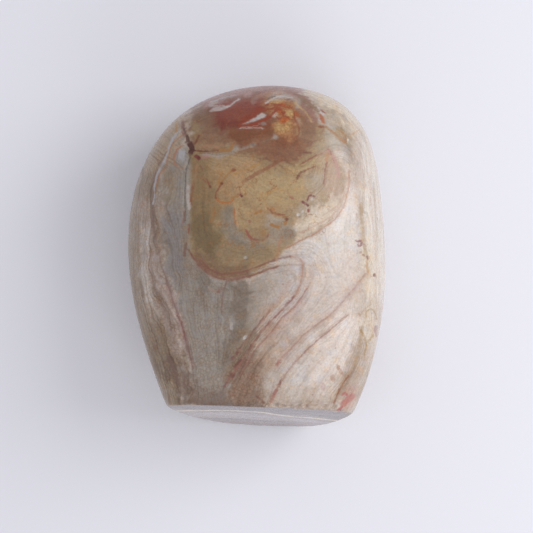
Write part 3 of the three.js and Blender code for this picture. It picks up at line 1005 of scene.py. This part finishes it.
# %% Veins of the right shoulder and the patch
PATCH_VEINS = [
    ("wisp", 0.5, 0.9, [(17, 42.6), (17.5, 41.6), (18.4, 40.9)]),
    ("rust_red", 0.4, 0.8, [(17.7, 42.1), (18.7, 41.4)]),
    ("rust", 0.5, 0.8, [(17.3, 37.6), (19, 37.4)]),
    ("ochre", 0.6, 0.8, [(19, 37.4), (20.5, 36.3), (22, 35.2), (23.3, 33.9), (24.6, 33.2)]),
    ("ochre", 0.4, 0.6, [(22, 36.8), (23.5, 36), (24.5, 34.5), (25, 33)]),
    ("honey", 0.4, 0.5, [(26, 35), (28, 36.5)]),
    ("white", 0.4, 0.7, [(25.1, 33.9), (25.1, 33)]),
    ("rust_red", 0.5, 0.7, [(19.9, 31.2), (20.6, 30), (21.1, 28.6), (21.5, 27.4)]),
    ("rose_vein", 0.9, 0.45, [(21, 29.5), (21.7, 27.5), (22.2, 25.6), (22.5, 23.8)]),
    ("rose_vein", 0.4, 0.6, [(18, 30.3), (20, 30.9)]),
    ("rust", 0.5, 0.8, [(18, 30), (16, 29.3), (14.5, 28.5), (13, 27.6), (11.8, 27.1)]),
    ("orange", 0.9, 0.5, [(19.4, 29.6), (19.2, 28.2)]),
    ("rust", 0.55, 0.75, [(19.2, 27.6), (18.9, 26), (18.8, 24), (18.4, 21.6)]),
    ("rust", 0.4, 0.8, [(15.8, 26.4), (14, 25.6), (12.9, 25.2)]),
    ("dark_rust", 0.6, 0.75, [(13.2, 25.2), (12.2, 24.8), (11.6, 24.2), (11, 23)]),
    ("dark_rust", 0.45, 0.7, [(13, 30.3), (15, 30.3)]),
    ("rust", 1.0, 0.6, [(-3.8, 22.2), (-2, 23.4), (0, 24.6), (2.5, 25.9), (5, 27.4)]),
    ("honey", 0.4, 0.5, [(-7, 24), (-4, 25.5), (-2, 26), (1, 27.5)]),
    ("ochre", 0.5, 0.8, [(-6.3, 25.6), (-8, 24.6), (-9.6, 22.8), (-10.4, 21.5)]),
    ("rust", 0.45, 0.8, [(-9.8, 22.2), (-10.8, 20.5), (-11.5, 19), (-11.6, 17.6), (-11, 16.8)]),
    ("orange", 0.5, 0.8, [(-11.4, 17.2), (-10.4, 16.5), (-9, 16.3), (-7.6, 16.5), (-6.8, 17.1)]),
    ("ochre", 0.7, 0.5, [(-9.9, 24.7), (-10.8, 23), (-11, 21.4)]),
    ("glow", 0.5, 0.5, [(-6.6, 16.4), (-6.1, 14.5), (-5.9, 12), (-5.5, 9.4)]),
    ("orange", 0.35, 0.7, [(-6.4, 15.2), (-6.4, 12.6), (-6, 10)]),
    ("ochre", 0.5, 0.7, [(-7.2, 17.8), (-6, 17.9), (-5.2, 18.4)]),
    ("ochre", 0.5, 0.6, [(-9, 19.4), (-8.4, 18.8), (-7.8, 19.4)]),
    ("rust", 0.4, 0.5, [(-5, 20.6), (-4.8, 19.4), (-5.4, 18.6)]),
    ("honey", 0.5, 0.4, [(2.5, 18.6), (4, 19.4), (5.6, 20.3), (7, 19.6)]),
    ("honey", 0.5, 0.4, [(2.2, 17), (2.4, 15.6), (3.4, 14.6)]),
    ("rust_red", 0.6, 0.7, [(-3.2, 8.6), (-2.5, 7.3), (-1.5, 6.3), (-0.4, 6)]),
    ("rust", 0.45, 0.6, [(-0.4, 6), (1.5, 6), (2.7, 6.8), (3, 7.6)]),
    ("ochre", 1.9, 0.4, [(1.3, 7.6), (1.9, 7.9)]),
    ("rust", 0.6, 0.8, [(2.8, 14.9), (3.6, 14.4), (4.4, 13.4), (6, 13.1), (7, 13)]),
    ("orange", 0.5, 0.6, [(4.6, 14.2), (4, 15)]),
    ("faint_rust", 0.6, 0.6, [(6.3, 6), (5.8, 3), (5.3, 0.3)]),
    ("faint_rust", 0.4, 0.5, [(8.2, 19.4), (9.2, 18), (10, 17.4)]),
    ("rust", 0.5, 0.8, [(-14, 22.6), (-13.3, 20.8)]),
    ("rust", 0.5, 0.5, [(-14.9, 22.6), (-14.5, 22)]),
    ("rust", 0.5, 0.5, [(-15.8, 26.4), (-15.4, 25.6)]),
    ("ochre", 1.0, 0.7, [(-13, 11.2), (-12.4, 12)]),
    ("ochre", 0.6, 0.4, [(-12.3, 12.5), (-11.9, 14.5)]),
    ("band_tan", 0.45, 0.6, [(24, 16), (20, 12.2), (16, 10), (11.5, 8)]),
    ("band_tan", 0.4, 0.5, [(24.6, 22), (24, 18.5), (22, 15.4), (18, 12.6)]),
]
print("veins of the patch:", len(PATCH_VEINS))

# %% [markdown]
# Each folded band has a thin, rust-red line in it, which thickens into beads towards the
# foot, where iron gathered.

# %% Veins of the bands and the flanks
FLANK_VEINS = [
    ("arc_rust", 0.55, 0.75, OUTER_ARC),
    ("arc_rust", 0.5, 0.7, INNER_ARC[:-1]),
    ("faint_rust", 0.4, 0.5, [(9, 1.4), (11.2, 1), (12.3, 0), (12.5, -1.4)]),
    ("band_rust", 0.45, 0.45, FIRST_BAND[2:]),
    ("band_rust", 0.5, 0.75, SECOND_BAND[2:]),
    ("faint_rust", 0.4, 0.5, SECOND_BAND[:3]),
    ("band_rust", 0.45, 0.5, THIRD_BAND[1:]),
    ("band_rust", 0.45, 0.35, FOURTH_BAND),
    ("band_rust", 0.4, 0.5, FIFTH_BAND),
    ("seam_brown", 0.4, 0.45, LEFT_SEAM[:10]),
    ("maroon", 0.5, 0.5, [(-22.3, -15), (-21.3, -17), (-20.6, -19.5), (-20, -22)]),
    ("faint_rust", 0.4, 0.7, OLIVE_RIM),
    ("rust", 0.4, 0.7, [(-19, 10.2), (-19.2, 8)]),
    ("seam_brown", 0.4, 0.7, [(-8.5, -5.5), (-9.5, -8), (-9.8, -10), (-10, -15)]),
    ("rust", 1.0, 0.6, [(-11, -8.3), (-10.5, -8)]),
    ("faint_rust", 0.5, 0.5, [(-13.4, -7.6), (-11.3, -8.4)]),
    ("wisp", 0.7, 0.6, [(-7.3, -17.2), (-7.1, -18.8)]),
    ("chalk", 0.8, 0.7, [(-3.6, -21.3), (-3.3, -21)]),
    ("bead", 0.5, 0.6, [(1.6, -15.4), (0.4, -17.6), (-1.2, -19.4), (-2.6, -21.2)]),
    ("bead", 0.6, 0.7, [(-4, -22.8), (-5, -24.4)]),
    ("bead", 0.8, 0.8, [(-5.9, -25.8), (-5.5, -25.2)]),
    ("bead", 0.9, 0.8, [(-7.1, -27), (-6.5, -26.5)]),
    ("bead", 0.5, 0.6, [(2.2, -18.2), (0.8, -20), (-0.8, -22.2)]),
    ("bead", 0.6, 0.6, [(-1.8, -23), (-2.3, -24.4), (-3.6, -25.8)]),
    ("bead", 0.8, 0.85, [(-4.4, -27.4), (-5.4, -28.3), (-6.2, -29.3)]),
    ("bead", 0.5, 0.5, [(-3.2, -27.4), (-4, -29.4)]),
    ("bead", 0.7, 0.7, [(-4.6, -30.8), (-5.1, -31.8)]),
    ("bead", 0.5, 0.6, [(8, -11.8), (8.6, -11.2)]),
    ("bead", 0.6, 0.6, [(-0.2, -37.6), (0.8, -38.6), (2, -39.4)]),
    ("bead", 0.5, 0.6, [(-9.2, -34.6), (-8.4, -33.6)]),
    ("bead", 0.9, 0.8, [(-7.2, -31.8), (-6.6, -31.4)]),
    ("rust_red", 0.65, 0.6, [(5.2, -28.9), (5.9, -28)]),
    ("maroon", 0.8, 0.6, [(6.1, -34.2), (6.5, -33.2)]),
    ("rust_red", 0.8, 0.6, [(5.3, -35.6), (4.3, -37.8), (3.7, -39)]),
    ("gold", 0.5, 0.7, [(28.8, -19), (29.4, -20.5), (30.2, -23), (29.8, -26)]),
    ("gold", 0.6, 0.6, [(30.8, -22), (32, -21), (32.2, -20.4)]),
    ("gold", 0.4, 0.6, [(30.2, -15.5), (30.4, -13.9), (31.5, -13.3), (32.6, -14), (33.2, -16)]),
    ("rust", 0.5, 0.7, [(25.2, -31.8), (23.8, -34), (22.6, -36.2), (21.3, -39.4)]),
    ("faint_rust", 0.9, 0.6, [(22.3, -29.3), (23.4, -31)]),
    ("faint_rust", 1.3, 0.4, [(20.8, -32), (21.2, -33)]),
    ("rose_vein", 1.3, 0.3, [(18, -34.2), (18.4, -35.2)]),
    ("honey", 0.6, 0.5, [(30.6, 1), (30.5, -1), (30.9, -3)]),
    ("gold", 1.0, 0.5, [(28.8, 16), (29.3, 8), (30.3, 1)]),
    ("faint_rust", 0.3, 0.35, [(31, 24), (31.5, 18), (32.1, 12), (32.6, 6), (33, 0)]),
    ("gold", 0.3, 0.35, [(32.3, 22), (32.8, 12), (33.3, 3)]),
    ("rust", 0.9, 0.5, [(-28.7, -23.4), (-28.3, -24.2)]),
    ("seam_brown", 0.5, 0.7, [(-24.6, -26.8), (-23, -30.5), (-22, -33.8)]),
    ("seam_brown", 0.5, 0.7, [(-20.4, -31.8), (-20.3, -34.6)]),
]
print("veins of the bands:", len(FLANK_VEINS))

# %% [markdown]
# ## Marks
# A few marks are darker and newer than the veins: maroon grains of hematite, ochre
# spots, and the open crack on the left with the dark stain at its head. They are kept
# apart from the veins so that a mark can lie on top of one.

# %% Dark marks
CRACK = [(-18.8, 29.5), (-19.5, 27), (-20.1, 25), (-20.3, 21), (-20.3, 16), (-20.4, 11)]
MARKS = [
    ("stain", 0.9, 0.8, [(-19.6, 35), (-19.3, 33.7), (-18.7, 32.5)]),
    ("stain", 1.5, 0.9, [(-18.9, 32.8), (-18.3, 31.6), (-18.5, 30.2)]),
    ("stain", 0.5, 0.7, [(-18.2, 31), (-17.2, 30.8)]),
    ("stain", 0.5, 0.6, [(-19.5, 33.6), (-20.2, 33)]),
    ("maroon", 1.0, 0.95, [(-17.1, 29.4), (-16.3, 28.6)]),
    ("soot", 0.5, 0.6, [(-20.7, 37.5), (-20, 35.7), (-19.6, 34.8)]),
    ("dark_rust", 0.5, 0.7, [(-16.2, 35), (-17, 33.6), (-17.5, 32.9)]),
    ("soot", 0.3, 0.55, CRACK),
    ("rust", 0.6, 0.6, [(-20.6, 14), (-20.7, 11)]),
    ("dark_rust", 0.75, 0.5, [(-19.9, 5), (-20.2, 3), (-20.3, 1.6)]),
    ("dark_rust", 0.5, 0.5, [(-19.9, 4), (-18.8, 2.8), (-18.2, 1.9)]),
    ("maroon", 0.7, 0.9, [(-4.8, 18.6), (-4.3, 18.2)]),
    ("rust", 0.9, 0.8, [(-6.9, 25.6), (-6.3, 25.5)]),
    ("dark_rust", 0.7, 0.8, [(-10.1, 21.8), (-9.7, 21.6)]),
    ("dark_rust", 0.7, 0.8, [(-13.3, 20.9), (-13.1, 20.6)]),
    ("maroon", 0.6, 0.85, [(14.6, 18.4), (15.8, 18)]),
    ("maroon", 0.45, 0.8, [(14.3, 18), (13.9, 16.8)]),
    ("maroon", 0.7, 0.9, [(12.5, 16.7), (13.5, 16), (14.1, 15.5)]),
    ("rust_red", 0.8, 0.85, [(14.1, 14.4), (14.1, 13.9)]),
    ("dark_rust", 0.95, 0.9, [(7.9, 11.8), (8.1, 11.6)]),
    ("ochre", 0.8, 0.8, [(7.8, 10.9), (7.7, 10.3)]),
    ("ochre", 0.8, 0.8, [(-0.8, 13.4), (0, 13.6)]),
    ("ochre", 0.9, 0.8, [(0.6, 13.8), (1, 14.2)]),
    ("ochre", 0.9, 0.85, [(3.6, 10.2), (4.6, 9.9), (5.9, 9.6)]),
    ("rust_red", 0.7, 0.6, [(-2.3, 11.1), (-2, 11.1)]),
    ("rust_red", 0.7, 0.5, [(9, 18), (9.9, 17.6)]),
    ("soot", 0.6, 0.4, [(7.8, 17.4), (8, 17.4)]),
    ("wisp", 0.7, 0.9, [(11.1, 13), (11.5, 13.1)]),
    ("wisp", 0.6, 0.8, [(12.4, 13.8), (12.6, 14.1)]),
    ("wisp", 0.6, 0.7, [(10.8, 8.8), (10.9, 8.8)]),
    ("wisp", 0.6, 0.8, [(15, 17.5), (15.1, 17.2)]),
    ("wisp", 0.8, 0.5, [(-3.5, 1.1), (-3.2, 1.1)]),
    ("bruise", 0.55, 0.8, [(27.3, 5.9), (27.9, 5.5)]),
    ("bruise", 0.55, 0.8, [(27.9, 5.6), (28.6, 5.7), (29, 5.2), (28.8, 4.5), (28.2, 4.3),
                           (27.9, 5)]),
    ("bruise", 0.5, 0.5, [(29, 4.9), (29.7, 4.8)]),
    ("bruise", 0.5, 0.45, [(28.6, 2.6), (28.8, 2.4)]),
    ("bruise", 0.6, 0.5, [(29.3, 1.9), (29.6, 1.6)]),
    ("maroon", 0.7, 0.6, [(30.5, 1.4), (30.6, 0.8)]),
    ("maroon", 0.8, 0.8, [(32.5, -3.6), (32.6, -4)]),
    ("bruise", 1.0, 0.55, [(33.1, -18.2), (32.9, -19.2), (33.4, -20.8)]),
    ("bruise", 0.6, 0.6, [(34, -18), (33.9, -18.8)]),
    ("coral", 1.6, 0.5, [(23.8, -39.6), (25, -38.6), (26.6, -37.4)]),
    ("coral", 0.6, 0.7, [(23.6, -37.2), (24.2, -36.5), (24.9, -37.2)]),
    ("rust_red", 0.7, 0.8, [(22.8, -41.4), (23.1, -42.2)]),
    ("rust_red", 0.5, 0.6, [(24.2, -39.2), (25, -38.2), (25.8, -38.3)]),
    ("coral", 0.7, 0.8, [(22.3, -41.6), (23.6, -40.3)]),
    ("soot", 0.6, 0.5, [(4.8, 25.6), (4.9, 25.4)]),
    ("soot", 0.7, 0.4, [(-1.7, 32.7), (-1.2, 32.4)]),
]
print("marks:", len(MARKS))

# %% [markdown]
# ## Round the back
# Veins don't stop at the edge of the front. A few long ones run round the sides and the
# back, so that the stone looks whole from everywhere.

# %% Veins of the sides and the back
SIDE_VEINS = [
    ("rust", 0.35, 0.6, [(39, 32), (40.5, 20), (41, 8), (40, -4), (38.5, -14)]),
    ("honey", 0.5, 0.6, [(43.5, 28), (44.6, 14), (44.4, 2), (43, -10), (41, -20)]),
    ("rust_red", 0.4, 0.6, [(46, 20), (47.5, 8), (47, -4), (44.5, -18)]),
    ("white", 0.5, 0.6, [(-38.5, 26), (-40.5, 14), (-41, 0), (-39, -16)]),
    ("seam_brown", 0.5, 0.7, [(-43, 30), (-44.6, 12), (-44.3, -4), (-42, -20)]),
    ("rust", 0.4, 0.6, [(-47, 22), (-48, 8), (-47, -8)]),
    ("white", 0.7, 0.7, [(-14, 52), (-7, 54), (0, 56.5), (8, 55.5), (16, 56.5)]),
    ("rust", 0.4, 0.6, [(-20, 56), (-8, 59), (4, 60.5), (14, 59.5)]),
]
print("veins of the sides:", len(SIDE_VEINS))

# %% [markdown]
# ## Cutting the veins in
# The veins of the front fade out below the widest girth, where those of the sides take
# over, and none of them cross the sawn end. The marks stop higher up, because on the
# steep side a round spot would be drawn out into a streak.

# %% Engrave the veins and the marks
FRONT_FADE = 5.0
MARK_FLOOR = 37.0

shown_front = np.clip((places[:, 2] - (GIRTH_HEIGHT - FRONT_FADE)) / FRONT_FADE, 0, 1) * ~on_cut
shown_sides = (1 - shown_front) * ~on_cut
veins = blank_layer(len(places))
engrave(veins, line_map, shown_front, CROWN_VEINS + PATCH_VEINS + FLANK_VEINS)
engrave(veins, line_map, shown_sides, SIDE_VEINS)
shown_marks = np.clip((places[:, 2] - MARK_FLOOR) / FRONT_FADE, 0, 1) * ~on_cut
marks = blank_layer(len(places))
engrave(marks, line_map, shown_marks, MARKS)
print("points inside a vein:", int((veins["depth"] > 0).sum()))

# %% [markdown]
# ## Storing the pattern
# Everything painted so far is kept on the points of the mesh as named attributes. The
# material reads them by name, and they stay with the stone when it moves.

# %% Store the pattern on the stone


def store(mesh, name, values):
    kind = "FLOAT" if values.ndim == 1 else "FLOAT_COLOR"
    layer = mesh.attributes.new(name, kind, "POINT")
    if kind == "FLOAT":
        layer.data.foreach_set("value", values)
    else:
        opaque = np.column_stack([values, np.ones(len(values))])
        layer.data.foreach_set("color", opaque.ravel())


for name, values in {
    "tint": tint, "flow": flow, "grain": grain, "hairlines": hairlines, "mottle": mottle,
    "crust": crust,
}.items():
    store(stone.data, name, values)
for part in ("offset", "half", "depth", "tint", "strength"):
    store(stone.data, "vein_" + part, veins[part])
for part in ("depth", "tint", "strength"):
    store(stone.data, "mark_" + part, marks[part])
print("attributes:", [layer.name for layer in stone.data.attributes])

# %% [markdown]
# ## Pits, the crack and chips
# Polishing rounds the lips of every small hole. The crack on the left has stayed open as
# a narrow groove, there are pits where grains fell out, and the front edge of the saw
# cut is chipped. They are pressed into the surface itself, so they catch the light.

# %% Press in the crack, the pits and the chips
LIP_SOFTNESS, CHIP_SOFTNESS = 0.5, 0.8
PITS = [
    # width, depth and place of each
    (0.9, 0.35, (-18.7, 31.2)), (0.8, 0.3, (-16.6, 28.9)), (0.7, 0.3, (-3.3, 0.9)),
    (0.5, 0.25, (-4.5, 18.3)), (0.6, 0.25, (14.1, 14.1)), (0.5, 0.2, (13.9, 15.6)),
    (0.6, 0.25, (28.6, 4.8)), (0.8, 0.3, (32.6, -3.8)), (0.8, 0.25, (-3.5, -21.2)),
    (0.7, 0.2, (-7.2, -18)), (0.6, 0.2, (11.4, 13)), (0.7, 0.2, (4.9, 34.3)),
    (0.9, 0.3, (23, -41.8)), (0.8, 0.25, (33.2, -19.4)), (0.7, 0.2, (6.3, -33.7)),
]
CRACK_WIDTH, CRACK_DEPTH = 0.6, 0.3
CHIP_EDGE = [(3, -40), (10, -40.3), (22, -40.6)]
CHIP_WIDTH, CHIP_DEPTH, CHIP_SIZE = 1.1, 0.5, 1.6

depth = CRACK_DEPTH * smoothed(closeness(plain_map, CRACK_WIDTH, LIP_SOFTNESS, CRACK))
for width, deepest, spot in PITS:
    pit = closeness(line_map, width, LIP_SOFTNESS, [spot])
    depth = np.maximum(depth, deepest * smoothed(pit))
chips = closeness(plain_map, CHIP_WIDTH, CHIP_SOFTNESS, CHIP_EDGE)
ragged = [noise.noise(Vector(place) / CHIP_SIZE) for place in places]
depth = np.maximum(depth, CHIP_DEPTH * chips * np.clip(np.array(ragged) * 3, 0, 1))
set_coordinates(stone.data, (places - facing * depth[:, None]) * MM)
print("deepest in mm:", depth.max().round(2))

# %% [markdown]
# ## Smooth shading
# The net is shaded smooth, but an edge that turns by more than the crease angle stays
# sharp. On this stone that is mainly the edge of the saw cut.

# %% Shade the polish smooth, the saw cut sharp
CREASE_ANGLE = math.radians(38)

bpy.ops.object.select_all(action="DESELECT")
bpy.context.view_layer.objects.active = stone
stone.select_set(True)
bpy.ops.object.shade_smooth_by_angle(angle=CREASE_ANGLE)
print("smooth faces:", sum(face.use_smooth for face in stone.data.polygons))

# %% [markdown]
# ## The rock as a material
# The material reads the painted tint and adds what is too fine for the net: the streaks
# along the grain, the mottle, the grains, the hairlines, the specks and the sharp veins.
# Small helpers keep the wiring readable.

# %% Wiring helpers
rock = emptied_material("banded jasper")
tree = rock.node_tree


def add_node(kind, inputs=None, **settings):
    made = tree.nodes.new(kind)
    for key, value in settings.items():
        setattr(made, key, value)
    for name, value in (inputs or {}).items():
        if isinstance(value, bpy.types.NodeSocket):
            tree.links.new(value, made.inputs[name])
        else:
            made.inputs[name].default_value = value
    return made


def calculate(operation, *values):
    return add_node("ShaderNodeMath", dict(enumerate(values)), operation=operation).outputs[0]


def blend(amount, below, above, kind="MIX"):
    inputs = {0: amount, 6: below, 7: above}
    return add_node("ShaderNodeMix", inputs, data_type="RGBA", blend_type=kind).outputs[2]


def ramp(value, low, high, from_value=0.0, to_value=1.0):
    inputs = {"Value": value, "From Min": low, "From Max": high,
              "To Min": from_value, "To Max": to_value}
    return add_node("ShaderNodeMapRange", inputs, interpolation_type="SMOOTHSTEP").outputs[0]


def painted(name, output="Fac"):
    return add_node("ShaderNodeAttribute", attribute_name=name).outputs[output]


def grains(vector, fineness, detail=2.0, roughness=0.55):
    """Noise; on a place in mm its fineness is in waves per mm."""
    inputs = {"Vector": vector, "Scale": fineness, "Detail": detail, "Roughness": roughness}
    return add_node("ShaderNodeTexNoise", inputs).outputs["Fac"]


def scaled(vector, scale):
    return add_node("ShaderNodeMapping", {"Vector": vector, "Scale": (scale,) * 3}).outputs[0]


def tinted(colour, strength, layers):
    """Multiply tints over a colour: each layer is a mask, its run, its depth and a tint."""
    for mask, low, high, depth, layer_tint in layers:
        amount = calculate("MULTIPLY", ramp(mask, low, high, 0, depth), strength)
        colour = blend(amount, colour, layer_tint, "MULTIPLY")
    return colour


print("material made:", rock.name)

# %% [markdown]
# ## Streaks
# In banded jasper the layers show as streaks from broad to hair fine. The noise is
# squeezed across the grain, by the height stored on the points, and stretched along it.
# The same could be done with waves, but they would come out too even.

# %% The streaks along the grain
STREAK_LENGTH = 0.045
BEND_FINENESS, BEND_HEIGHT = 0.16, 3.0

in_mm = scaled(add_node("ShaderNodeTexCoord").outputs["Object"], 1 / MM)
stretched = scaled(in_mm, STREAK_LENGTH)
bent_height = calculate("MULTIPLY_ADD", grains(in_mm, BEND_FINENESS), BEND_HEIGHT, painted("flow"))


def streaks(fineness, detail):
    """Noise that is squeezed across the grain and stretched along it."""
    across = calculate("MULTIPLY", bent_height, fineness)
    lift = add_node("ShaderNodeCombineXYZ", {"X": across}).outputs[0]
    place = add_node("ShaderNodeVectorMath", {0: stretched, 1: lift}, operation="ADD")
    return grains(place.outputs[0], 1.0, detail, 0.6)


broad_streaks = streaks(0.55, 2.0)
fine_streaks = streaks(1.7, 3.0)
hair_streaks = streaks(4.0, 2.0)

STREAK_DARK = (0.62, 0.52, 0.44, 1)
STREAK_LIGHT = (1.16, 1.17, 1.20, 1)
HAIR_DARK = (0.60, 0.46, 0.38, 1)

colour = tinted(painted("tint", "Color"), painted("grain"), (
    (broad_streaks, 0.50, 0.66, 0.55, STREAK_DARK),
    (fine_streaks, 0.50, 0.64, 0.60, STREAK_DARK),
    (fine_streaks, 0.48, 0.36, 0.80, STREAK_LIGHT),
    (hair_streaks, 0.58, 0.68, 0.55, HAIR_DARK),
))
print("nodes with the streaks:", len(tree.nodes))

# %% [markdown]
# ## Mottle
# No wash is quite even in real rock: clay and iron cloud it. Three noises, from large
# clouds to speckle, make it a little darker, lighter, warmer and cooler in patches.

# %% Mottle in warm and cool patches
MOTTLE_DARK = (0.76, 0.73, 0.70, 1)
MOTTLE_LIGHT = (1.16, 1.15, 1.13, 1)
WARM = (1.12, 0.94, 0.72, 1)
COOL = (0.90, 0.98, 1.10, 1)

cloud = grains(in_mm, 0.30, 4.0, 0.62)
warmth = grains(in_mm, 0.42, 4.0, 0.65)
speckle = grains(in_mm, 1.5, 3.0, 0.7)
colour = tinted(colour, painted("mottle"), (
    (cloud, 0.50, 0.70, 0.45, MOTTLE_DARK),
    (warmth, 0.52, 0.68, 0.55, WARM),
    (warmth, 0.48, 0.34, 0.60, COOL),
    (speckle, 0.50, 0.70, 0.65, MOTTLE_DARK),
    (speckle, 0.48, 0.30, 0.90, MOTTLE_LIGHT),
))
print("nodes with the mottle:", len(tree.nodes))

# %% [markdown]
# ## Grains
# Near the foot and in the grey middle the quartz has grown in grains about a millimetre
# across, pale inside and dark along their borders. A Voronoi pattern gives the borders,
# and it is warped with noise so that the grains aren't straight-sided.

# %% Crust of tiny grains
GRAIN_FINENESS = 1.05
WARP_FINENESS, GRAIN_WARP = 0.8, 0.9
CRUST_DARK = (0.60, 0.49, 0.42, 1)
CRUST_LIGHT = (1.14, 1.13, 1.10, 1)

warp = add_node("ShaderNodeTexNoise", {"Vector": in_mm, "Scale": WARP_FINENESS, "Detail": 2.0})
warped = add_node("ShaderNodeVectorMath", {0: warp.outputs["Color"], 1: (GRAIN_WARP,) * 3},
                  operation="MULTIPLY")
warped = add_node("ShaderNodeVectorMath", {0: warped.outputs[0], 1: in_mm}, operation="ADD")
grain_cells = add_node("ShaderNodeTexVoronoi", {
    "Vector": warped.outputs[0], "Scale": GRAIN_FINENESS,
}, feature="DISTANCE_TO_EDGE").outputs["Distance"]
crust_here = calculate("MULTIPLY", ramp(warmth, 0.40, 0.56, 0.3, 1.0), painted("crust"))
colour = tinted(colour, crust_here, (
    (grain_cells, 0.16, 0.02, 0.60, CRUST_DARK),
    (grain_cells, 0.18, 0.36, 0.70, CRUST_LIGHT),
))
print("nodes with the grains:", len(tree.nodes))

# %% [markdown]
# ## Specks
# Single grains of iron ore are scattered through the stone. They are small round spots
# in the cells of a Voronoi pattern, and a slow noise leaves most cells without one.

# %% Specks of iron
SPECK_FINENESS = 0.33
SPECK = (0.30, 0.17, 0.12, 1)

cells = add_node("ShaderNodeTexVoronoi", {"Vector": in_mm, "Scale": SPECK_FINENESS})
speck_here = ramp(grains(in_mm, 0.18, 2.0), 0.50, 0.62)
speck_round = ramp(cells.outputs["Distance"], 0.13, 0.06, 0, 0.55)
colour = blend(calculate("MULTIPLY", speck_round, speck_here), colour, SPECK)
print("nodes with the specks:", len(tree.nodes))

# %% [markdown]
# ## Hairlines
# The patch is full of rusty cracks as thin as a hair, too many to lay by hand. Noise has
# lines of equal value that wind and close on themselves just as such cracks do, so a
# thin line is drawn wherever one noise is near a half.

# %% Rusty hairlines
HAIRLINE_FINENESS = 0.24
HAIRLINE_TINT = (0.26, 0.11, 0.035, 1)
HAIRLINE_THIN, HAIRLINE_WIDE = 0.004, 0.026

hair_field = grains(in_mm, HAIRLINE_FINENESS, 5.0, 0.58)
hair_gap = calculate("ABSOLUTE", calculate("SUBTRACT", hair_field, 0.5))
hair_here = ramp(grains(in_mm, 0.33, 2.0), 0.47, 0.62)
hair_line = ramp(hair_gap, HAIRLINE_WIDE, HAIRLINE_THIN, 0, 0.75)
hair_amount = calculate("MULTIPLY", hair_line, hair_here)
hair_amount = calculate("MULTIPLY", hair_amount, painted("hairlines"))
colour = blend(hair_amount, colour, HAIRLINE_TINT)
print("nodes with the hairlines:", len(tree.nodes))

# %% [markdown]
# ## Sharp veins
# A vein shows where the distance to its middle is smaller than its half width. Noise
# added to the distance makes its path shake, and noise added to the width makes it swell
# and thin. A faint halo round it stands for the rock that the iron soaked into.

# %% Veins with sharp, ragged edges
PATH_WAVE, PATH_SHAKE = 0.55, 0.22
WIDTH_FRAY = 0.65
WAVE_FINENESS, FRAY_FINENESS, WIDTH_FINENESS = 0.9, 3.2, 1.3
FADE_FINENESS = 0.45
HALO_STRENGTH = 0.16

edge_wave = calculate("SUBTRACT", grains(in_mm, WAVE_FINENESS), 0.5)
edge_fray = calculate("SUBTRACT", grains(in_mm, FRAY_FINENESS), 0.5)
width_noise = calculate("SUBTRACT", grains(in_mm, WIDTH_FINENESS), 0.5)
fading = ramp(grains(in_mm, FADE_FINENESS, 3.0), 0.34, 0.56, 0.55, 1.0)

path = calculate("MULTIPLY_ADD", edge_wave, PATH_WAVE, painted("vein_offset"))
path = calculate("MULTIPLY_ADD", edge_fray, PATH_SHAKE, path)
half_width = calculate("MULTIPLY_ADD", width_noise, WIDTH_FRAY, painted("vein_half"))
vein_inside = calculate("SUBTRACT", half_width, calculate("ABSOLUTE", path))
vein_reach = painted("vein_depth")
vein_power = calculate("MULTIPLY", painted("vein_strength"), fading)
vein_colour = painted("vein_tint", "Color")
halo = calculate("MULTIPLY", ramp(vein_reach, -0.7, 0.1, 0, HALO_STRENGTH), vein_power)
colour = blend(halo, colour, vein_colour)
vein_mask = calculate("MULTIPLY", ramp(vein_inside, -0.15, 0.13), vein_power)
vein_mask = calculate("MULTIPLY", ramp(vein_reach, -0.75, -0.45), vein_mask)
colour = blend(vein_mask, colour, vein_colour)
print("nodes with the veins:", len(tree.nodes))

# %% [markdown]
# ## Sharp marks
# The marks are mostly wider than the net, so for them the depth inside the nearest mark
# is enough. The same two noises eat into their edges.

# %% Marks with sharp, ragged edges
EDGE_WAVE, EDGE_FRAY = 0.5, 0.35

mark_inside = calculate("MULTIPLY_ADD", edge_wave, EDGE_WAVE, painted("mark_depth"))
mark_inside = calculate("MULTIPLY_ADD", edge_fray, EDGE_FRAY, mark_inside)
mark_power = painted("mark_strength")
mark_mask = calculate("MULTIPLY", ramp(mark_inside, -0.15, 0.15), mark_power)
colour = blend(mark_mask, colour, painted("mark_tint", "Color"))
print("nodes with the marks:", len(tree.nodes))

# %% [markdown]
# ## The polish
# Jasper takes a high polish, but not like glass: hard quartz and softer clay polish to
# slightly different heights, so the reflections are soft and a little uneven. A faint
# bump gives that, and the dark marks stay rougher.

# %% Polish
POLISH_INDEX = 1.54
GLOSSIEST, DULLEST = 0.24, 0.33
MARK_ROUGHNESS = 0.12
RIPPLE_FINENESS, RIPPLE_STRENGTH, RIPPLE_DISTANCE = 0.6, 0.25, 0.000006

roughness = ramp(cloud, 0.3, 0.7, GLOSSIEST, DULLEST)
roughness = calculate("MULTIPLY_ADD", mark_mask, MARK_ROUGHNESS, roughness)
bump = add_node("ShaderNodeBump", {
    "Strength": RIPPLE_STRENGTH, "Distance": RIPPLE_DISTANCE,
    "Height": grains(in_mm, RIPPLE_FINENESS),
}).outputs[0]
polish = add_node("ShaderNodeBsdfPrincipled", {
    "Base Color": colour, "Roughness": roughness, "Normal": bump, "IOR": POLISH_INDEX,
})
add_node("ShaderNodeOutputMaterial", {"Surface": polish.outputs[0]})
stone.data.materials.append(rock)
print("material nodes:", len(tree.nodes))

# %% [markdown]
# ## Join the stone to the frame
# The finished skin takes the place of the plain solid and moves with it.

# %% Ride, replace and finish
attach(stone, "root")
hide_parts("jasper_stone")
print("triangles:", sum(len(face.vertices) - 2 for face in stone.data.polygons))
